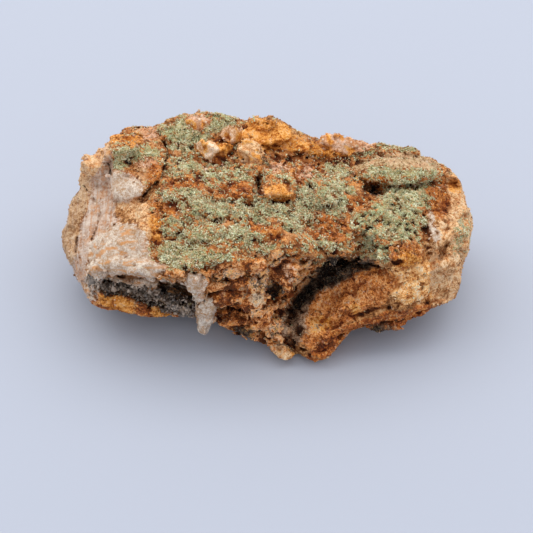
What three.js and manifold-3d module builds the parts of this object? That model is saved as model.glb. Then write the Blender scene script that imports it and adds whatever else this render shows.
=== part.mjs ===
// Pyromorphite specimen: a hand-sized rock of quartz and limonite, broken out of a vein.
// It grew and broke as one piece, so it is one closed solid. Millimetres, +Z up.
// X runs along the rock, its front faces -Y, and it rests on three worn spots at Z = 0.
import * as THREE from 'three';
import { LoftGeometry } from 'three/addons/geometries/LoftGeometry.js';
import { ImprovedNoise } from 'three/addons/math/ImprovedNoise.js';
import { mergeVertices } from 'three/addons/utils/BufferGeometryUtils.js';
import Module from 'manifold-3d';

const RINGS = 37; // sections along the rock
const RING_POINTS = 48; // points around each section
const BROAD_RELIEF = { size: 14, height: 1.5 }; // swells and hollows of the broken surface
const FINE_RELIEF = { size: 5, height: 0.7 }; // lumps on those swells
const LUMP_RELIEF = { waves: 2, share: 0.14 }; // unevenness of a lump, in shares of its radius
const LUMP_DETAIL = 3; // splits along each edge of a lump's first twenty faces
const SEEDS = { broad: 0, fine: 7.3, lumps: 11, feet: 31, hollows: 51 }; // places in the noise
const LEVEL = 0; // height of the worn spots that it rests on
const BLOCK = 400; // side of the block that trims the underside
const SAME_POINT = 1e-4; // vertices nearer than this are one
const OFF_GRID = 0.5; // keeps the relief off the points where the noise is always nought
const CENTRE = { x: 0.65, y: 5.29 }; // middle of the rock's outline, moved to the origin

// Sections across the rock. Each is one round of the stone at X, as [Y, Z] pairs in this order:
// back belly, back rim, top back, top front, front lip, recess under the lip,
// shelf, toe, sole front, sole back, back foot.
const SECTIONS = [
  { x: -69.8, round: [[7, 24], [6, 27], [4, 28], [1, 27], [-1, 25], [-2, 23], [-2, 21], [-1, 19],
    [1, 17], [4, 17], [6, 20]] },
  { x: -66, round: [[20, 27], [16, 32], [10, 33], [1, 31], [-4, 27], [-6, 24], [-6, 20], [-4, 15],
    [2, 11], [10, 11], [17, 18]] },
  { x: -58, round: [[39, 27], [32, 38], [20, 41], [3, 37], [-16, 30], [-20, 25], [-20, 19], [-17, 13],
    [-8, 10], [14, 8], [33, 14]] },
  { x: -48, round: [[44, 29], [37, 43], [22, 45], [2, 42], [-20, 34], [-17, 26], [-21, 18], [-19, 11],
    [-10, 7], [14, 4], [37, 11]] },
  { x: -36, round: [[44, 30], [36, 47], [20, 48], [2, 46], [-26, 36], [-18, 26], [-22, 17], [-21, 10],
    [-12, 6], [14, 1], [38, 9]] },
  { x: -22, round: [[43, 31], [36, 50], [18, 49], [-5, 47], [-29, 40], [-22, 28], [-24, 17], [-23, 10],
    [-14, 4], [12, 1], [37, 8]] },
  { x: -8, round: [[42, 31], [33, 50], [16, 49], [-5, 47], [-27, 43], [-26, 32], [-28, 20], [-27, 8],
    [-17, 2], [10, 2], [36, 8]] },
  { x: 6, round: [[41, 31], [31, 49], [14, 48], [-5, 47], [-24, 44], [-24, 32], [-27, 18], [-30, 5],
    [-24, 1], [8, 2], [35, 8]] },
  { x: 18, round: [[38, 30], [28, 46], [12, 46], [-6, 46], [-26, 42], [-15, 30], [-25, 18], [-31, 6],
    [-30, -1], [8, 2], [33, 8]] },
  { x: 30, round: [[37, 29], [27, 46], [12, 45], [-6, 44], [-25, 40], [-15, 30], [-25, 21], [-28, 12],
    [-23, 5], [6, 1], [32, 7]] },
  { x: 42, round: [[36, 28], [26, 44], [12, 45], [-4, 43], [-24, 38], [-22, 30], [-26, 22], [-27, 13],
    [-21, 7], [6, 2], [31, 8]] },
  { x: 54, round: [[34, 26], [26, 40], [13, 43], [0, 42], [-16, 38], [-19, 30], [-22, 22], [-24, 13],
    [-17, 8], [6, 5], [28, 11]] },
  { x: 63, round: [[28, 26], [22, 38], [10, 40], [2, 39], [-5, 36], [-10, 30], [-15, 22], [-16, 15],
    [-10, 11], [6, 9], [21, 13]] },
  { x: 68, round: [[20, 26], [15, 35], [8, 37], [3, 35], [0, 32], [-3, 28], [-6, 23], [-6, 18],
    [-2, 15], [6, 13], [14, 17]] },
  { x: 71, round: [[13, 26], [10, 30], [7, 31], [4, 30], [2, 28], [0, 26], [-1, 23], [1, 20],
    [3, 18], [7, 18], [11, 21]] },
];

// Masses that stand out of the rock. turn is in degrees about X, Y and Z.
const LUMPS = [
  { name: 'left back mound', at: [-21, 29, 47], radii: [17, 9, 7], turn: [0, 0, 0] },
  { name: 'middle back mound', at: [2, 29, 46], radii: [14, 8, 7], turn: [0, 8, 0] },
  { name: 'right back lump', at: [26, 24, 43], radii: [11, 6, 5.5], turn: [0, 4, 0] },
  { name: 'right back mound', at: [45, 20, 40], radii: [14, 8, 6], turn: [0, 10, -10] },
  { name: 'lens of vein stuff', at: [42, 13, 44], radii: [14, 4.5, 4.5], turn: [0, 6, -4] },
  { name: 'upper left plate', at: [-44, 19, 42], radii: [11, 19, 6.5], turn: [4, -3, -4] },
  { name: 'quartz boulder', at: [-18.5, 17, 48], radii: [4.5, 3.5, 3.5], turn: [0, 0, 20] },
  { name: 'small boulder', at: [-11, 24, 50], radii: [4, 3, 3], turn: [0, 0, -20] },
  { name: 'tan boulder', at: [-5.5, 17, 48], radii: [5.5, 4, 4], turn: [0, 0, 10] },
  { name: 'middle chunk', at: [4, 5, 45.5], radii: [6.5, 8, 5], turn: [0, 12, 25] },
  { name: 'left flank', at: [-60, 15, 26], radii: [7, 16, 10], turn: [0, -14, -20] },
  { name: 'right flank', at: [61, 3, 26], radii: [9, 14, 11], turn: [0, 10, 14] },
  { name: 'quartz column', at: [-20.5, -26, 31], radii: [4, 4, 9], turn: [12, 8, 0] },
  { name: 'quartz prong', at: [-20.5, -25, 14], radii: [2.6, 2.8, 9.5], turn: [8, -4, 0] },
  { name: 'front keel', at: [17.5, -28, 5], radii: [9, 6.5, 8], turn: [25, 0, 10] },
  { name: 'small nub', at: [5.5, -28, 4], radii: [4.5, 5, 4], turn: [0, 0, 0] },
  { name: 'lower right lens', at: [42, -20, 12], radii: [15, 8, 5], turn: [0, -8, 10] },
];

// Openings in the rock: the druse slot under the front lip, the cleft, and two smaller holes.
const HOLLOWS = [
  { name: 'druse slot', at: [-40, -20, 25], radii: [17, 9, 4.5], turn: [0, 4, -10] },
  { name: 'slot end', at: [-28, -23, 26], radii: [7, 8, 4], turn: [0, 25, -10] },
  { name: 'cleft', at: [22, -20, 28], radii: [19, 11, 4.5], turn: [58, -12, 33] },
  { name: 'cleft foot', at: [9, -27, 19], radii: [5, 6, 8], turn: [0, 30, 0] },
  { name: 'round hole', at: [3, -27, 28], radii: [3.4, 6, 3.4], turn: [-20, 0, 0] },
  { name: 'dark hole', at: [35, 6, 43], radii: [4, 3, 5], turn: [-35, 0, 0] },
];

// Worn spots under the rock: lumps that the level trim cuts flat.
const FEET = [
  { name: 'front foot', at: [14, -20, 3], radii: [13, 11, 5], turn: [0, 0, 0] },
  { name: 'left foot', at: [-28, 20, 4], radii: [15, 12, 6], turn: [0, 0, 0] },
  { name: 'right foot', at: [30, 18, 4], radii: [14, 12, 6], turn: [0, 0, 0] },
];

const noise = new ImprovedNoise();
const wasm = await Module();
wasm.setup();

function relief(point, { size, height }, seed) {
  const x = point.x / size + seed;
  const y = point.y / size - seed;
  const z = point.z / size + OFF_GRID;
  const away = new THREE.Vector3(noise.noise(x, y, z), noise.noise(y, z, x), noise.noise(z, x, y));
  return away.multiplyScalar(height);
}

function roughen(point) {
  const broad = relief(point, BROAD_RELIEF, SEEDS.broad);
  const fine = relief(point, FINE_RELIEF, SEEDS.fine);
  return point.clone().add(broad).add(fine);
}

function closedRing({ x, round }) {
  const corners = round.map(([y, z]) => new THREE.Vector3(x, y, z));
  const curve = new THREE.CatmullRomCurve3(corners, true, 'centripetal');
  return Array.from({ length: RING_POINTS }, (_, i) => curve.getPoint(i / RING_POINTS));
}

// The skin: each point of a section is carried to the next along a smooth curve.
function rockSkin() {
  const rounds = SECTIONS.map(closedRing);
  const rails = rounds[0].map((_, i) => new THREE.CatmullRomCurve3(rounds.map((ring) => ring[i])));
  const sections = Array.from({ length: RINGS }, (_, k) => {
    const along = k / (RINGS - 1);
    return rails.map((rail) => roughen(rail.getPoint(along)));
  });
  return new LoftGeometry(sections, { closed: true, capStart: true, capEnd: true });
}

function lumpGeometry({ at, radii, turn }, seed) {
  const geometry = new THREE.IcosahedronGeometry(1, LUMP_DETAIL);
  const place = geometry.attributes.position;
  const point = new THREE.Vector3();
  for (let i = 0; i < place.count; i++) {
    point.fromBufferAttribute(place, i);
    const { x, y, z } = point.clone().multiplyScalar(LUMP_RELIEF.waves);
    point.multiplyScalar(1 + LUMP_RELIEF.share * noise.noise(x + seed, y, z));
    place.setXYZ(i, point.x, point.y, point.z);
  }
  const angles = turn.map(THREE.MathUtils.degToRad);
  geometry.scale(...radii);
  geometry.applyMatrix4(new THREE.Matrix4().makeRotationFromEuler(new THREE.Euler(...angles)));
  geometry.translate(...at);
  return geometry;
}

function toSolid(geometry) {
  const bare = new THREE.BufferGeometry().copy(geometry);
  bare.deleteAttribute('normal');
  bare.deleteAttribute('uv');
  const merged = mergeVertices(bare, SAME_POINT);
  const vertProperties = new Float32Array(merged.attributes.position.array);
  const triVerts = new Uint32Array(merged.index.array);
  return new wasm.Manifold(new wasm.Mesh({ numProp: 3, vertProperties, triVerts }));
}

function toGeometry(solid) {
  const mesh = solid.getMesh();
  const geometry = new THREE.BufferGeometry();
  geometry.setAttribute('position', new THREE.BufferAttribute(mesh.vertProperties, 3));
  geometry.setIndex(new THREE.BufferAttribute(mesh.triVerts, 1));
  geometry.computeVertexNormals();
  return geometry;
}

const addAll = (solid, items, seed) =>
  items.reduce((sum, item, i) => sum.add(toSolid(lumpGeometry(item, seed + i))), solid);
const cutAll = (solid, items, seed) =>
  items.reduce((rest, item, i) => rest.subtract(toSolid(lumpGeometry(item, seed + i))), solid);

function rock() {
  const skin = toSolid(rockSkin());
  const standing = addAll(addAll(skin, LUMPS, SEEDS.lumps), FEET, SEEDS.feet);
  const opened = cutAll(standing, HOLLOWS, SEEDS.hollows);
  const below = new THREE.BoxGeometry(BLOCK, BLOCK, BLOCK).translate(0, 0, LEVEL - BLOCK / 2);
  const trimmed = opened.subtract(toSolid(below));
  return toGeometry(trimmed).translate(-CENTRE.x, -CENTRE.y, 0);
}

const stone = new THREE.Mesh(
  rock(),
  new THREE.MeshStandardMaterial({ color: 0xa9825a, roughness: 0.9, metalness: 0 }),
);
stone.name = 'matrix_rock';

const group = new THREE.Group();
group.add(stone);

export default group;
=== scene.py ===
"""Pyromorphite specimen: the surface, crystals and stage of a rock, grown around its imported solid.

Points are worked out in millimetres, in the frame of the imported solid, and turned to metres when
a mesh is made. +Z is up, -Y is the broken front and +X runs along the rock.
"""

import math
from concurrent.futures import ThreadPoolExecutor
from functools import cache, partial

import bpy
import numpy as np
import openvdb
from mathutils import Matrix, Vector
from mathutils.bvhtree import BVHTree


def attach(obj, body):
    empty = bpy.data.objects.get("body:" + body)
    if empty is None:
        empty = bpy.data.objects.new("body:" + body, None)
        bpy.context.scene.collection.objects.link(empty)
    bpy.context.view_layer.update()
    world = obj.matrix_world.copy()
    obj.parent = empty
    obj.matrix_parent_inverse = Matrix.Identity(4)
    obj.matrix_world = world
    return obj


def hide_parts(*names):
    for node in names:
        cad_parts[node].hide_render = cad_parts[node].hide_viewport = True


bl_info = {
    "name": "Pyromorphite specimen",
    "version": (1, 0, 0),
    "blender": (4, 5, 0),
    "location": "View3D > Sidebar > Specimen",
    "description": "Grows the surface, crystals and stage of a rock around its packed solid",
    "category": "Add Mesh",
}

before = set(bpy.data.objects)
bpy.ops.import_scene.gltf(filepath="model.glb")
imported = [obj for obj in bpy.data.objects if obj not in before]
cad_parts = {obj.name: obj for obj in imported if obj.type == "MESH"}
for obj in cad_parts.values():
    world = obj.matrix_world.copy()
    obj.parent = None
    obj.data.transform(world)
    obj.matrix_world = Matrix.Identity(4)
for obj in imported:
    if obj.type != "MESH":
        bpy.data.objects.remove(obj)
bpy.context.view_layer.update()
NODE = "matrix_rock"
BODY = "root"
MM = 0.001

# ---------------------------------------------------------------- the view that the rock is drawn for
FRAME_PX = 533
LENS_MM = 90.0
SENSOR_MM = 36.0
AXIS_PX = (265.5, 212.5)  # where the lens axis meets the frame
AIM = np.array([-0.65, 0.71, 32.0])
ELEVATION = math.radians(42)
DISTANCE = 450.0
FOCAL_PX = LENS_MM * FRAME_PX / SENSOR_MM
BACK = np.array([0.0, -math.cos(ELEVATION), math.sin(ELEVATION)])
UP = np.array([0.0, math.sin(ELEVATION), math.cos(ELEVATION)])
RIGHT = np.array([1.0, 0.0, 0.0])
EYE = AIM + DISTANCE * BACK


def to_pixels(points):
    """Where the camera sees each point, as columns and rows of the frame."""
    away = points - EYE.astype(np.float32)
    depth = -(away @ BACK)
    column = AXIS_PX[0] + FOCAL_PX * (away @ RIGHT) / depth
    row = AXIS_PX[1] - FOCAL_PX * (away @ UP) / depth
    return column, row


def ray_through(column, row):
    """The direction from the camera through a pixel."""
    way = -BACK + RIGHT * (column - AXIS_PX[0]) / FOCAL_PX + UP * (AXIS_PX[1] - row) / FOCAL_PX
    return way / np.linalg.norm(way)


# ---------------------------------------------------------------- outlines and places
# Outlines and paths are drawn on the square frame as the camera sees it: column,row pairs in
# pixels, counted from the top left corner.
def pixels(text):
    """The points of an outline or a path."""
    return [tuple(map(int, pair.split(","))) for pair in text.split()]


# The whole specimen against the floor behind it.
OUTLINE = (
    "60,243 61,234 67,225 69,215 70,205 72,200 78,194 83,187 79,181 77,174 81,166 80,159 86,152 94,145 "
    "98,138 105,135 114,128 128,127 149,125 160,124 170,118 184,113 200,110 214,110 226,115 236,118 "
    "247,116 270,115 282,121 296,131 310,136 320,137 331,133 337,132 352,138 366,143 380,143 392,145 "
    "401,148 415,147 422,152 436,160 448,167 455,174 461,181 461,188 464,194 466,206 472,216 473,228 "
    "469,236 469,250 462,263 461,277 461,286 455,299 452,301 440,304 430,309 420,319 410,328 396,334 "
    "382,334 368,329 360,327 349,331 339,344 332,353 318,364 308,358 294,351 292,358 286,362 280,358 "
    "274,352 264,347 250,341 240,337 225,336 210,335 203,336 197,332 191,325 183,320 166,320 150,318 "
    "137,315 125,312 112,312 102,308 92,305 87,297 82,285 75,275 71,267 67,255"
)
TRIM_BLUR_PX = 4.0

# What each stretch of the surface is made of.
ZONES = {
    "crust": [
        "110,134 124,127 165,123 180,114 205,108 236,110 262,118 300,136 345,136 380,142 425,148 446,166 "
        "447,190 432,205 424,216 424,240 408,250 388,264 366,259 330,256 316,264 296,258 272,250 252,258 "
        "228,264 205,270 170,269 146,260 148,240 152,222 146,206 160,188 140,188 114,172 110,150",
    ],
    "moss": [
        "112,145 125,142 142,147 160,149 165,157 152,163 136,166 124,172 117,173 112,166",
        "155,126 172,123 184,117 196,112 216,109 234,113 246,121 238,129 222,132 208,139 200,148 190,156 "
        "172,157 168,144",
        "164,160 206,160 236,168 256,172 254,183 226,183 190,178 168,172",
        "148,196 166,188 196,189 214,196 232,203 258,195 284,203 300,198 296,186 306,178 330,174 354,180 "
        "356,192 346,200 350,208 342,216 320,212 306,212 312,224 298,233 280,228 274,216 260,222 240,214 "
        "226,222 206,214 182,214 170,198",
        "158,220 184,221 206,227 236,228 262,238 286,243 272,252 250,251 232,240 206,242 182,238 162,235",
        "146,245 172,240 198,243 220,250 244,252 250,257 226,261 206,266 190,269 168,266 150,260",
        "300,238 330,240 350,245 368,248 364,257 345,253 308,250",
        "366,212 374,200 385,186 402,182 428,184 430,196 420,206 426,218 420,236 402,241 388,242 393,256 "
        "382,264 368,260 360,251 364,240 354,228 354,215",
        "324,171 336,160 346,151 362,146 380,142 402,148 420,147 434,153 443,161 428,158 402,153 380,153 "
        "360,158 351,170 340,177",
        "354,168 366,167 380,167 398,168 420,169 438,171 444,178 424,183 396,182 370,180 358,175",
        "455,217 470,214 471,234 463,256 452,250",
    ],
    "rust": [
        "111,135 119,132 121,143 113,146",
        "122,138 139,133 140,146 131,151 123,147",
        "210,139 224,141 224,155 208,159 202,156 216,150",
        "215,187 232,182 252,186 254,197 238,201 224,200",
        "264,187 280,184 293,187 293,199 280,202 267,199",
        "293,164 314,166 306,180 298,188 292,182",
        "150,202 168,200 184,206 178,215 160,213",
        "200,160 222,158 222,168 206,168",
        "176,178 200,178 206,186 182,190 166,192 168,186",
        "345,196 372,198 368,206 348,206",
        "316,215 346,221 352,229 338,232 320,227",
        "240,215 262,225 282,232 276,240 258,235 244,227",
        "300,231 330,230 352,240 338,243 308,237",
        "430,180 444,178 449,195 447,216 436,219 430,204",
        "392,250 408,243 424,250 426,264 404,270 390,263",
        "150,164 163,160 164,172 156,184 146,190 147,176",
        "356,180 400,176 430,180 426,185 390,183 360,188",
    ],
    "amber": [
        "149,215 158,216 163,230 161,241 151,242 149,228",
        "243,124 262,118 282,127 300,138 330,149 354,151 352,157 320,157 300,152 266,151 248,147",
        "111,136 118,134 119,144 113,144",
        "124,141 138,137 139,145 130,148",
        "266,188 280,186 292,188 292,199 280,201 267,198",
        "214,142 224,143 222,156 208,160 206,156 214,150",
        "450,172 460,182 461,196 449,190",
        "150,306 166,312 176,318 168,321 152,314",
        "98,297 112,295 126,301 138,307 136,312 114,311 99,305",
        "398,248 414,252 424,262 414,268 400,262",
        "308,320 320,317 335,319 328,330 312,331",
        "352,303 361,303 360,312 352,312",
        "200,281 206,281 205,297 200,298",
    ],
    "quartz": [
        "111,171 119,170 131,174 138,179 144,188 138,196 128,201 110,202",
        "86,282 92,246 100,232 114,224 136,222 150,243 151,262 164,266 168,270 156,273 156,280 166,282 "
        "186,284 190,280 202,278 203,286 200,299 192,299 182,290 150,288 130,286 104,284",
        "427,211 432,213 437,240 433,247 429,230",
        "290,332 295,332 295,342 290,342",
        "86,286 100,286 99,299 88,299",
    ],
    "cream": [
        "200,322 208,322 207,336 201,336",
    ],
    "banded": [
        "96,140 111,132 112,172 112,200 118,222 98,234 92,246 86,268 84,292 72,270 78,240 88,210 92,180",
    ],
    "tan": [
        "56,244 68,206 80,186 74,174 78,154 96,138 102,160 92,186 84,210 78,240 78,276 64,262",
        "80,262 92,276 92,300 84,300",
    ],
    "honey": [
        "446,164 462,180 478,220 476,250 464,280 452,306 432,300 430,272 430,252 438,222 448,212",
        "112,199 140,197 148,203 151,216 149,244 138,246 136,214 120,208",
        "96,140 110,134 112,150 104,160 96,152",
        "130,128 156,128 158,138 136,138",
        "136,168 150,164 150,178 144,190 138,180",
        "79,160 86,152 96,150 99,166 92,178 81,178",
        "250,297 256,294 262,298 260,305 252,303",
    ],
    "lawn": [
        "113,147 124,145 136,150 136,158 124,167 114,164",
        "355,170 366,168 380,168 400,169 424,170 438,172 440,179 420,182 396,182 372,180 360,176",
        "384,190 400,184 424,186 424,200 410,210 418,232 400,238 386,226 380,206",
        "160,246 176,243 200,246 220,252 236,256 206,263 176,264 156,256",
        "160,130 184,120 210,112 232,114 240,122 220,131 196,141 170,144",
        "266,171 289,170 292,187 270,188 264,178",
    ],
    "blush": [
        "318,138 330,131 345,132 376,143 364,150 340,153 322,150",
        "186,117 206,116 208,128 192,130",
        "270,165 286,165 291,170 274,171",
        "300,168 314,166 310,178 298,178",
        "140,127 156,128 158,138 144,140",
        "136,160 156,160 152,168 140,168",
        "283,263 290,261 295,270 290,280 284,274",
    ],
    "lens": [
        "353,167 362,160 378,155 400,153 424,156 438,163 438,170 420,168 398,167 374,166 358,168",
    ],
    "calm": [
        "110,134 140,130 164,138 167,152 164,168 156,182 142,196 126,201 111,200",
        "108,200 140,198 152,206 150,226 112,226",
        "62,243 70,205 80,180 84,150 98,138 112,132 112,222 98,234 90,250 84,280 72,268",
        "88,262 96,238 112,222 136,204 152,206 152,262 186,273 188,284 130,274",
        "155,126 184,112 216,108 246,120 238,130 200,142 168,142",
        "146,245 172,240 198,243 220,250 250,256 206,267 168,266 150,260",
        "248,120 284,122 330,134 376,142 352,158 300,152 250,148",
    ],
    "pure": [
        "111,171 119,170 131,174 138,179 144,188 138,196 128,201 110,202",
        "138,203 148,203 152,216 150,244 139,246 137,224",
        "427,211 432,213 437,240 433,247 429,230",
    ],
    "gossan": [
        "154,274 168,272 186,272 188,278 182,282 158,280",
        "203,268 224,264 252,258 272,250 318,262 303,284 292,304 284,322 296,346 270,352 222,340 212,322 "
        "208,290",
    ],
    "ochre": [
        "388,268 404,262 430,252 446,268 452,290 430,300 400,302 386,290",
    ],
    "lower": [
        "86,290 98,292 118,291 132,297 150,305 168,311 182,316 176,326 130,320 98,312 84,302",
        "334,330 360,320 390,312 440,304 456,296 438,320 404,338 370,336 344,342 332,366 300,362 310,350 "
        "324,336",
        "176,314 214,332 262,346 280,364 296,366 280,346 222,318 200,322",
    ],
    "ramp": [
        "342,281 352,270 388,270 402,280 388,300 370,308 352,318 330,332 312,350 302,340 308,312 318,294",
    ],
    "druse": [
        "84,277 104,281 130,286 150,289 172,290 188,296 195,302 193,318 188,322 180,316 168,311 150,305 "
        "132,297 118,291 92,291",
    ],
    "trench": [
        "330,260 372,262 374,268 352,278 330,287 318,294 311,305 305,316 304,328 301,344 288,346 282,330 "
        "281,318 288,306 297,295 308,280 318,270",
        "374,323 396,326 396,334 366,332",
        "100,290 130,295 158,301 184,312 180,318 150,306 118,296 98,294",
    ],
    # Soot and shadow: real black manganese oxide and black specks, and painted shadow, near-black painted
    # into the cave under the lip, the slot under the front ledge and the top of the vug, where there is
    # shade.
    "soot_and_shadow": [
        "327,258 345,256 366,257 375,260 372,266 352,277 338,282 322,289 312,296 306,303 300,308 290,308 "
        "298,295 309,280 320,270",
        "230,324 242,326 256,333 250,339 236,334",
        "361,188 366,185 378,187 382,191 372,197 363,195",
        "368,326 380,327 392,333 376,334",
        "266,291 269,284 279,283 285,288 283,296 274,299",
        "279,346 293,347 290,352 281,351",
        "100,290 114,290 130,293 150,298 170,305 180,313 164,309 140,302 118,297 100,295",
        "160,282 180,286 193,292 200,302 196,312 182,308 170,298 160,291",
    ],
    "felt": [
        "186,190 250,196 330,192 356,214 350,236 300,238 262,240 200,238 172,230",
    ],
    "bubbly": [
        "352,214 372,198 385,184 428,180 432,200 424,240 396,262 366,262 352,244",
        "155,124 205,108 246,120 222,134 166,150",
    ],
}
EDGE_BLUR_PX = {
    "crust": 2.0, "moss": 4.0, "rust": 3.0, "felt": 6.0, "blush": 3.0, "bubbly": 5.0, "amber": 2.5,
    "trench": 3.0, "soot_and_shadow": 1.3, "tan": 3.0, "banded": 2.5, "ochre": 2.5, "ramp": 3.0, "gossan": 2.0,
    "honey": 3.0, "calm": 4.0, "lens": 1.4, "lawn": 3.0,
}
PLAIN_BLUR_PX = 1.6

# Stretches of the surface that stand proud (above nought) or lie low: the height in millimetres, how
# far the edge is softened in pixels, and the outline.
STEPS = {
    "plate": (2.0, 0.8, "113,148 111,200 127,201 142,196 152,187 161,177 165,165 167,151 162,141 140,138"),
    "plate west": (1.4, 2.4, "106,144 124,143 128,172 108,182"),
    "chunk shoulder": (1.4, 1.2, "292,176 306,178 310,190 300,198 292,196"),
    "front ledge": (1.8, 0.8, "90,268 112,258 150,262 192,274 192,286 168,282 130,274 104,270"),
    "right ridge": (1.2, 1.0, "426,210 431,212 438,244 432,248 428,230"),
    "keel step": (1.8, 0.8, "330,332 350,322 372,313 402,306 438,302 452,298 440,306 404,315 374,322 "
                            "350,331"),
    "slot rim": (1.6, 1.0, "96,294 118,293 134,300 150,308 168,314 160,320 130,314 104,308"),
    "white rib": (1.1, 1.2, "138,204 147,204 151,216 150,244 140,245 138,224"),
    "block bulge": (1.8, 7.0, "100,236 114,228 140,228 150,244 148,258 110,264 96,258"),
    "brown hollow": (-1.4, 1.8, "438,198 447,196 452,206 447,216 438,213"),
    "vug rim": (1.2, 1.0, "262,284 274,280 290,284 291,300 284,310 266,308 260,296"),
    "back swale": (-1.8, 3.0, "296,154 352,158 352,172 312,172"),
    "lip swale": (-1.2, 4.0, "300,206 330,206 350,222 340,238 300,234"),
    "ramp crest": (1.2, 4.0, "342,284 360,276 392,274 400,286 372,304 346,314 330,316"),
    "east rise": (1.2, 4.0, "372,200 400,190 424,196 420,232 392,246 372,240"),
}

# Cuts into the rock: width and depth in millimetres, how steeply the cut goes in (nought is level,
# one is along the line of sight), and the path.
CUTS = {
    "plate edge": (1.2, 2.8, 1.0, "164,139 166,150 164,166 160,178 151,188 139,198"),
    "chunk left": (1.8, 3.0, 1.0, "262,168 258,176 258,186 258,193"),
    "chunk foot": (1.2, 1.8, 1.0, "264,201 274,203 284,203 292,200"),
    "hump foot": (1.2, 1.6, 1.0, "214,198 224,203 236,203 248,200"),
    "mound foot": (1.0, 0.8, 1.0, "266,149 290,152 306,153"),
    "lens foot": (1.4, 2.0, 0.6, "357,177 375,182 392,180 412,179 430,182"),
    "under the ledge": (1.6, 2.6, 0.5, "340,336 356,329 380,324 410,320 430,312"),
    "moss seam": (0.9, 1.4, 1.0, "156,244 166,241 176,239"),
    "boulder foot": (1.0, 1.6, 1.0, "238,159 250,161 262,156"),
    "left seam": (0.9, 1.4, 1.0, "84,186 92,196 100,212 98,224 92,240"),
    "left edge seam": (1.0, 1.4, 1.0, "80,226 77,240 76,252"),
    "face seam": (1.6, 2.8, 0.6, "211,282 218,277 227,279"),
    "face seam two": (1.8, 3.4, 0.5, "234,281 246,285 256,286 262,282"),
    "face seam three": (2.0, 3.6, 0.5, "210,306 224,310 240,313 253,309"),
    "face seam five": (1.4, 2.6, 0.6, "254,288 258,278 263,270"),
    "face seam six": (1.6, 2.6, 0.5, "284,302 283,312 280,318"),
    "face seam four": (1.4, 2.2, 0.6, "262,320 270,327 278,335 286,343"),
    "lip seam": (1.2, 2.2, 0.8, "268,268 274,262 280,257"),
    "lower seam": (2.4, 4.0, 0.4, "218,322 234,323 250,327 263,335 277,346"),
    "prong left": (1.4, 2.6, 0.6, "196,300 196,312 198,322"),
    "prong right": (1.4, 2.6, 0.6, "213,300 214,312 213,322"),
    "cave": (4.6, 10.0, 0.7, "332,265 344,264 360,264 376,266"),
    "cave roof": (2.4, 8.0, 0.4, "326,263 340,261 364,260 382,264"),
    "trench": (6.0, 5.0, 0.8, "330,272 318,283 307,294 296,306 291,316"),
    "trench wall": (2.0, 6.0, 0.5, "326,264 314,274 302,286 294,297"),
    "trench foot": (2.6, 1.2, 1.0, "291,316 291,326 294,336"),
    "keel seam": (1.4, 2.8, 0.5, "284,344 294,347 306,352"),
    "slot": (2.6, 7.0, 0.35, "98,288 120,290 140,296 160,300 182,306"),
    "slot right": (4.4, 12.0, 0.3, "162,290 178,294 194,301"),
    "slot mouth": (3.0, 4.0, 0.3, "150,306 166,311 184,316"),
    "lip gap": (1.2, 3.0, 0.6, "176,284 186,287"),
    "prong top": (1.8, 3.0, 0.5, "190,298 202,299 216,298"),
    "prong far right": (2.0, 3.2, 0.5, "217,296 219,308 218,320"),
}

# Boulders and lumps held in the crust, broken flat on many sides: pixel, radii in millimetres.
BOULDERS = {
    "white": ((209, 150), (3.8, 3.2, 3.0)),
    "white twin": ((220, 151), (3.2, 2.8, 2.4)),
    "pale": ((235, 137), (2.8, 2.2, 2.2)),
    "pale twin": ((246, 136), (2.8, 2.4, 1.8)),
    "tan": ((249, 152), (4.8, 3.4, 3.8)),
    "left rust": ((115, 140), (1.8, 1.8, 1.5)),
    "left rust twin": ((131, 142), (2.8, 2.0, 1.6)),
    "pink knob": ((197, 123), (3.0, 2.4, 1.8)),
    "plate corner": ((85, 165), (4.4, 4.4, 3.2)),
    "left lobe": ((90, 154), (5.0, 5.6, 3.0)),
    "left lobe back": ((103, 141), (4.6, 4.6, 2.2)),
    "left lobe far": ((118, 132), (5.0, 3.6, 1.4)),
    "mound top": ((262, 123), (5.0, 3.4, 1.4)),
    "mound block": ((277, 137), (3.2, 2.8, 2.0)),
    "mound block two": ((262, 141), (3.0, 2.4, 1.4)),
    "pink ledge": ((332, 141), (4.4, 3.0, 2.2)),
    "pink ledge twin": ((347, 145), (4.0, 2.6, 2.0)),
    "back knob": ((413, 153), (3.2, 2.4, 2.0)),
    "right shoulder": ((450, 178), (3.4, 3.4, 3.0)),
    "cleft lump": ((343, 268), (2.6, 2.2, 2.0)),
    "cleft lump right": ((360, 269), (2.2, 2.0, 1.6)),
    "keel lump": ((284, 355), (3.0, 2.4, 2.4)),
    "right lump": ((452, 236), (4.6, 4.0, 4.4)),
    "right lump low": ((446, 264), (4.2, 3.6, 4.2)),
    "lip block": ((256, 264), (4.2, 2.6, 1.8)),
    "lip block two": ((288, 264), (3.8, 2.8, 2.0)),
    "lip block three": ((312, 262), (3.4, 2.6, 1.6)),
    "face ledge": ((226, 284), (4.0, 2.6, 1.8)),
    "face lump": ((218, 297), (4.6, 3.2, 3.4)),
    "face lump two": ((252, 300), (4.4, 2.8, 3.0)),
    "face block": ((240, 281), (3.6, 2.8, 2.6)),
    "face block two": ((256, 287), (3.0, 2.6, 2.4)),
    "face block three": ((236, 295), (3.0, 2.4, 2.4)),
    "face block four": ((261, 315), (3.6, 2.6, 2.8)),
    "face block five": ((290, 276), (3.6, 2.6, 2.2)),
    "face block six": ((272, 325), (3.4, 2.4, 2.4)),
    "face lump three": ((262, 320), (3.2, 2.4, 2.2)),
    "face lump four": ((238, 320), (3.6, 2.4, 2.0)),
    "face lump five": ((292, 292), (2.6, 2.4, 2.4)),
    "black speck": ((115, 166), (1.0, 0.8, 0.7)),
    "black speck two": ((118, 172), (0.9, 0.7, 0.6)),
    "black speck three": ((128, 163), (1.2, 0.7, 0.6)),
}
FACETS = 13  # flat breaks on a boulder

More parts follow.
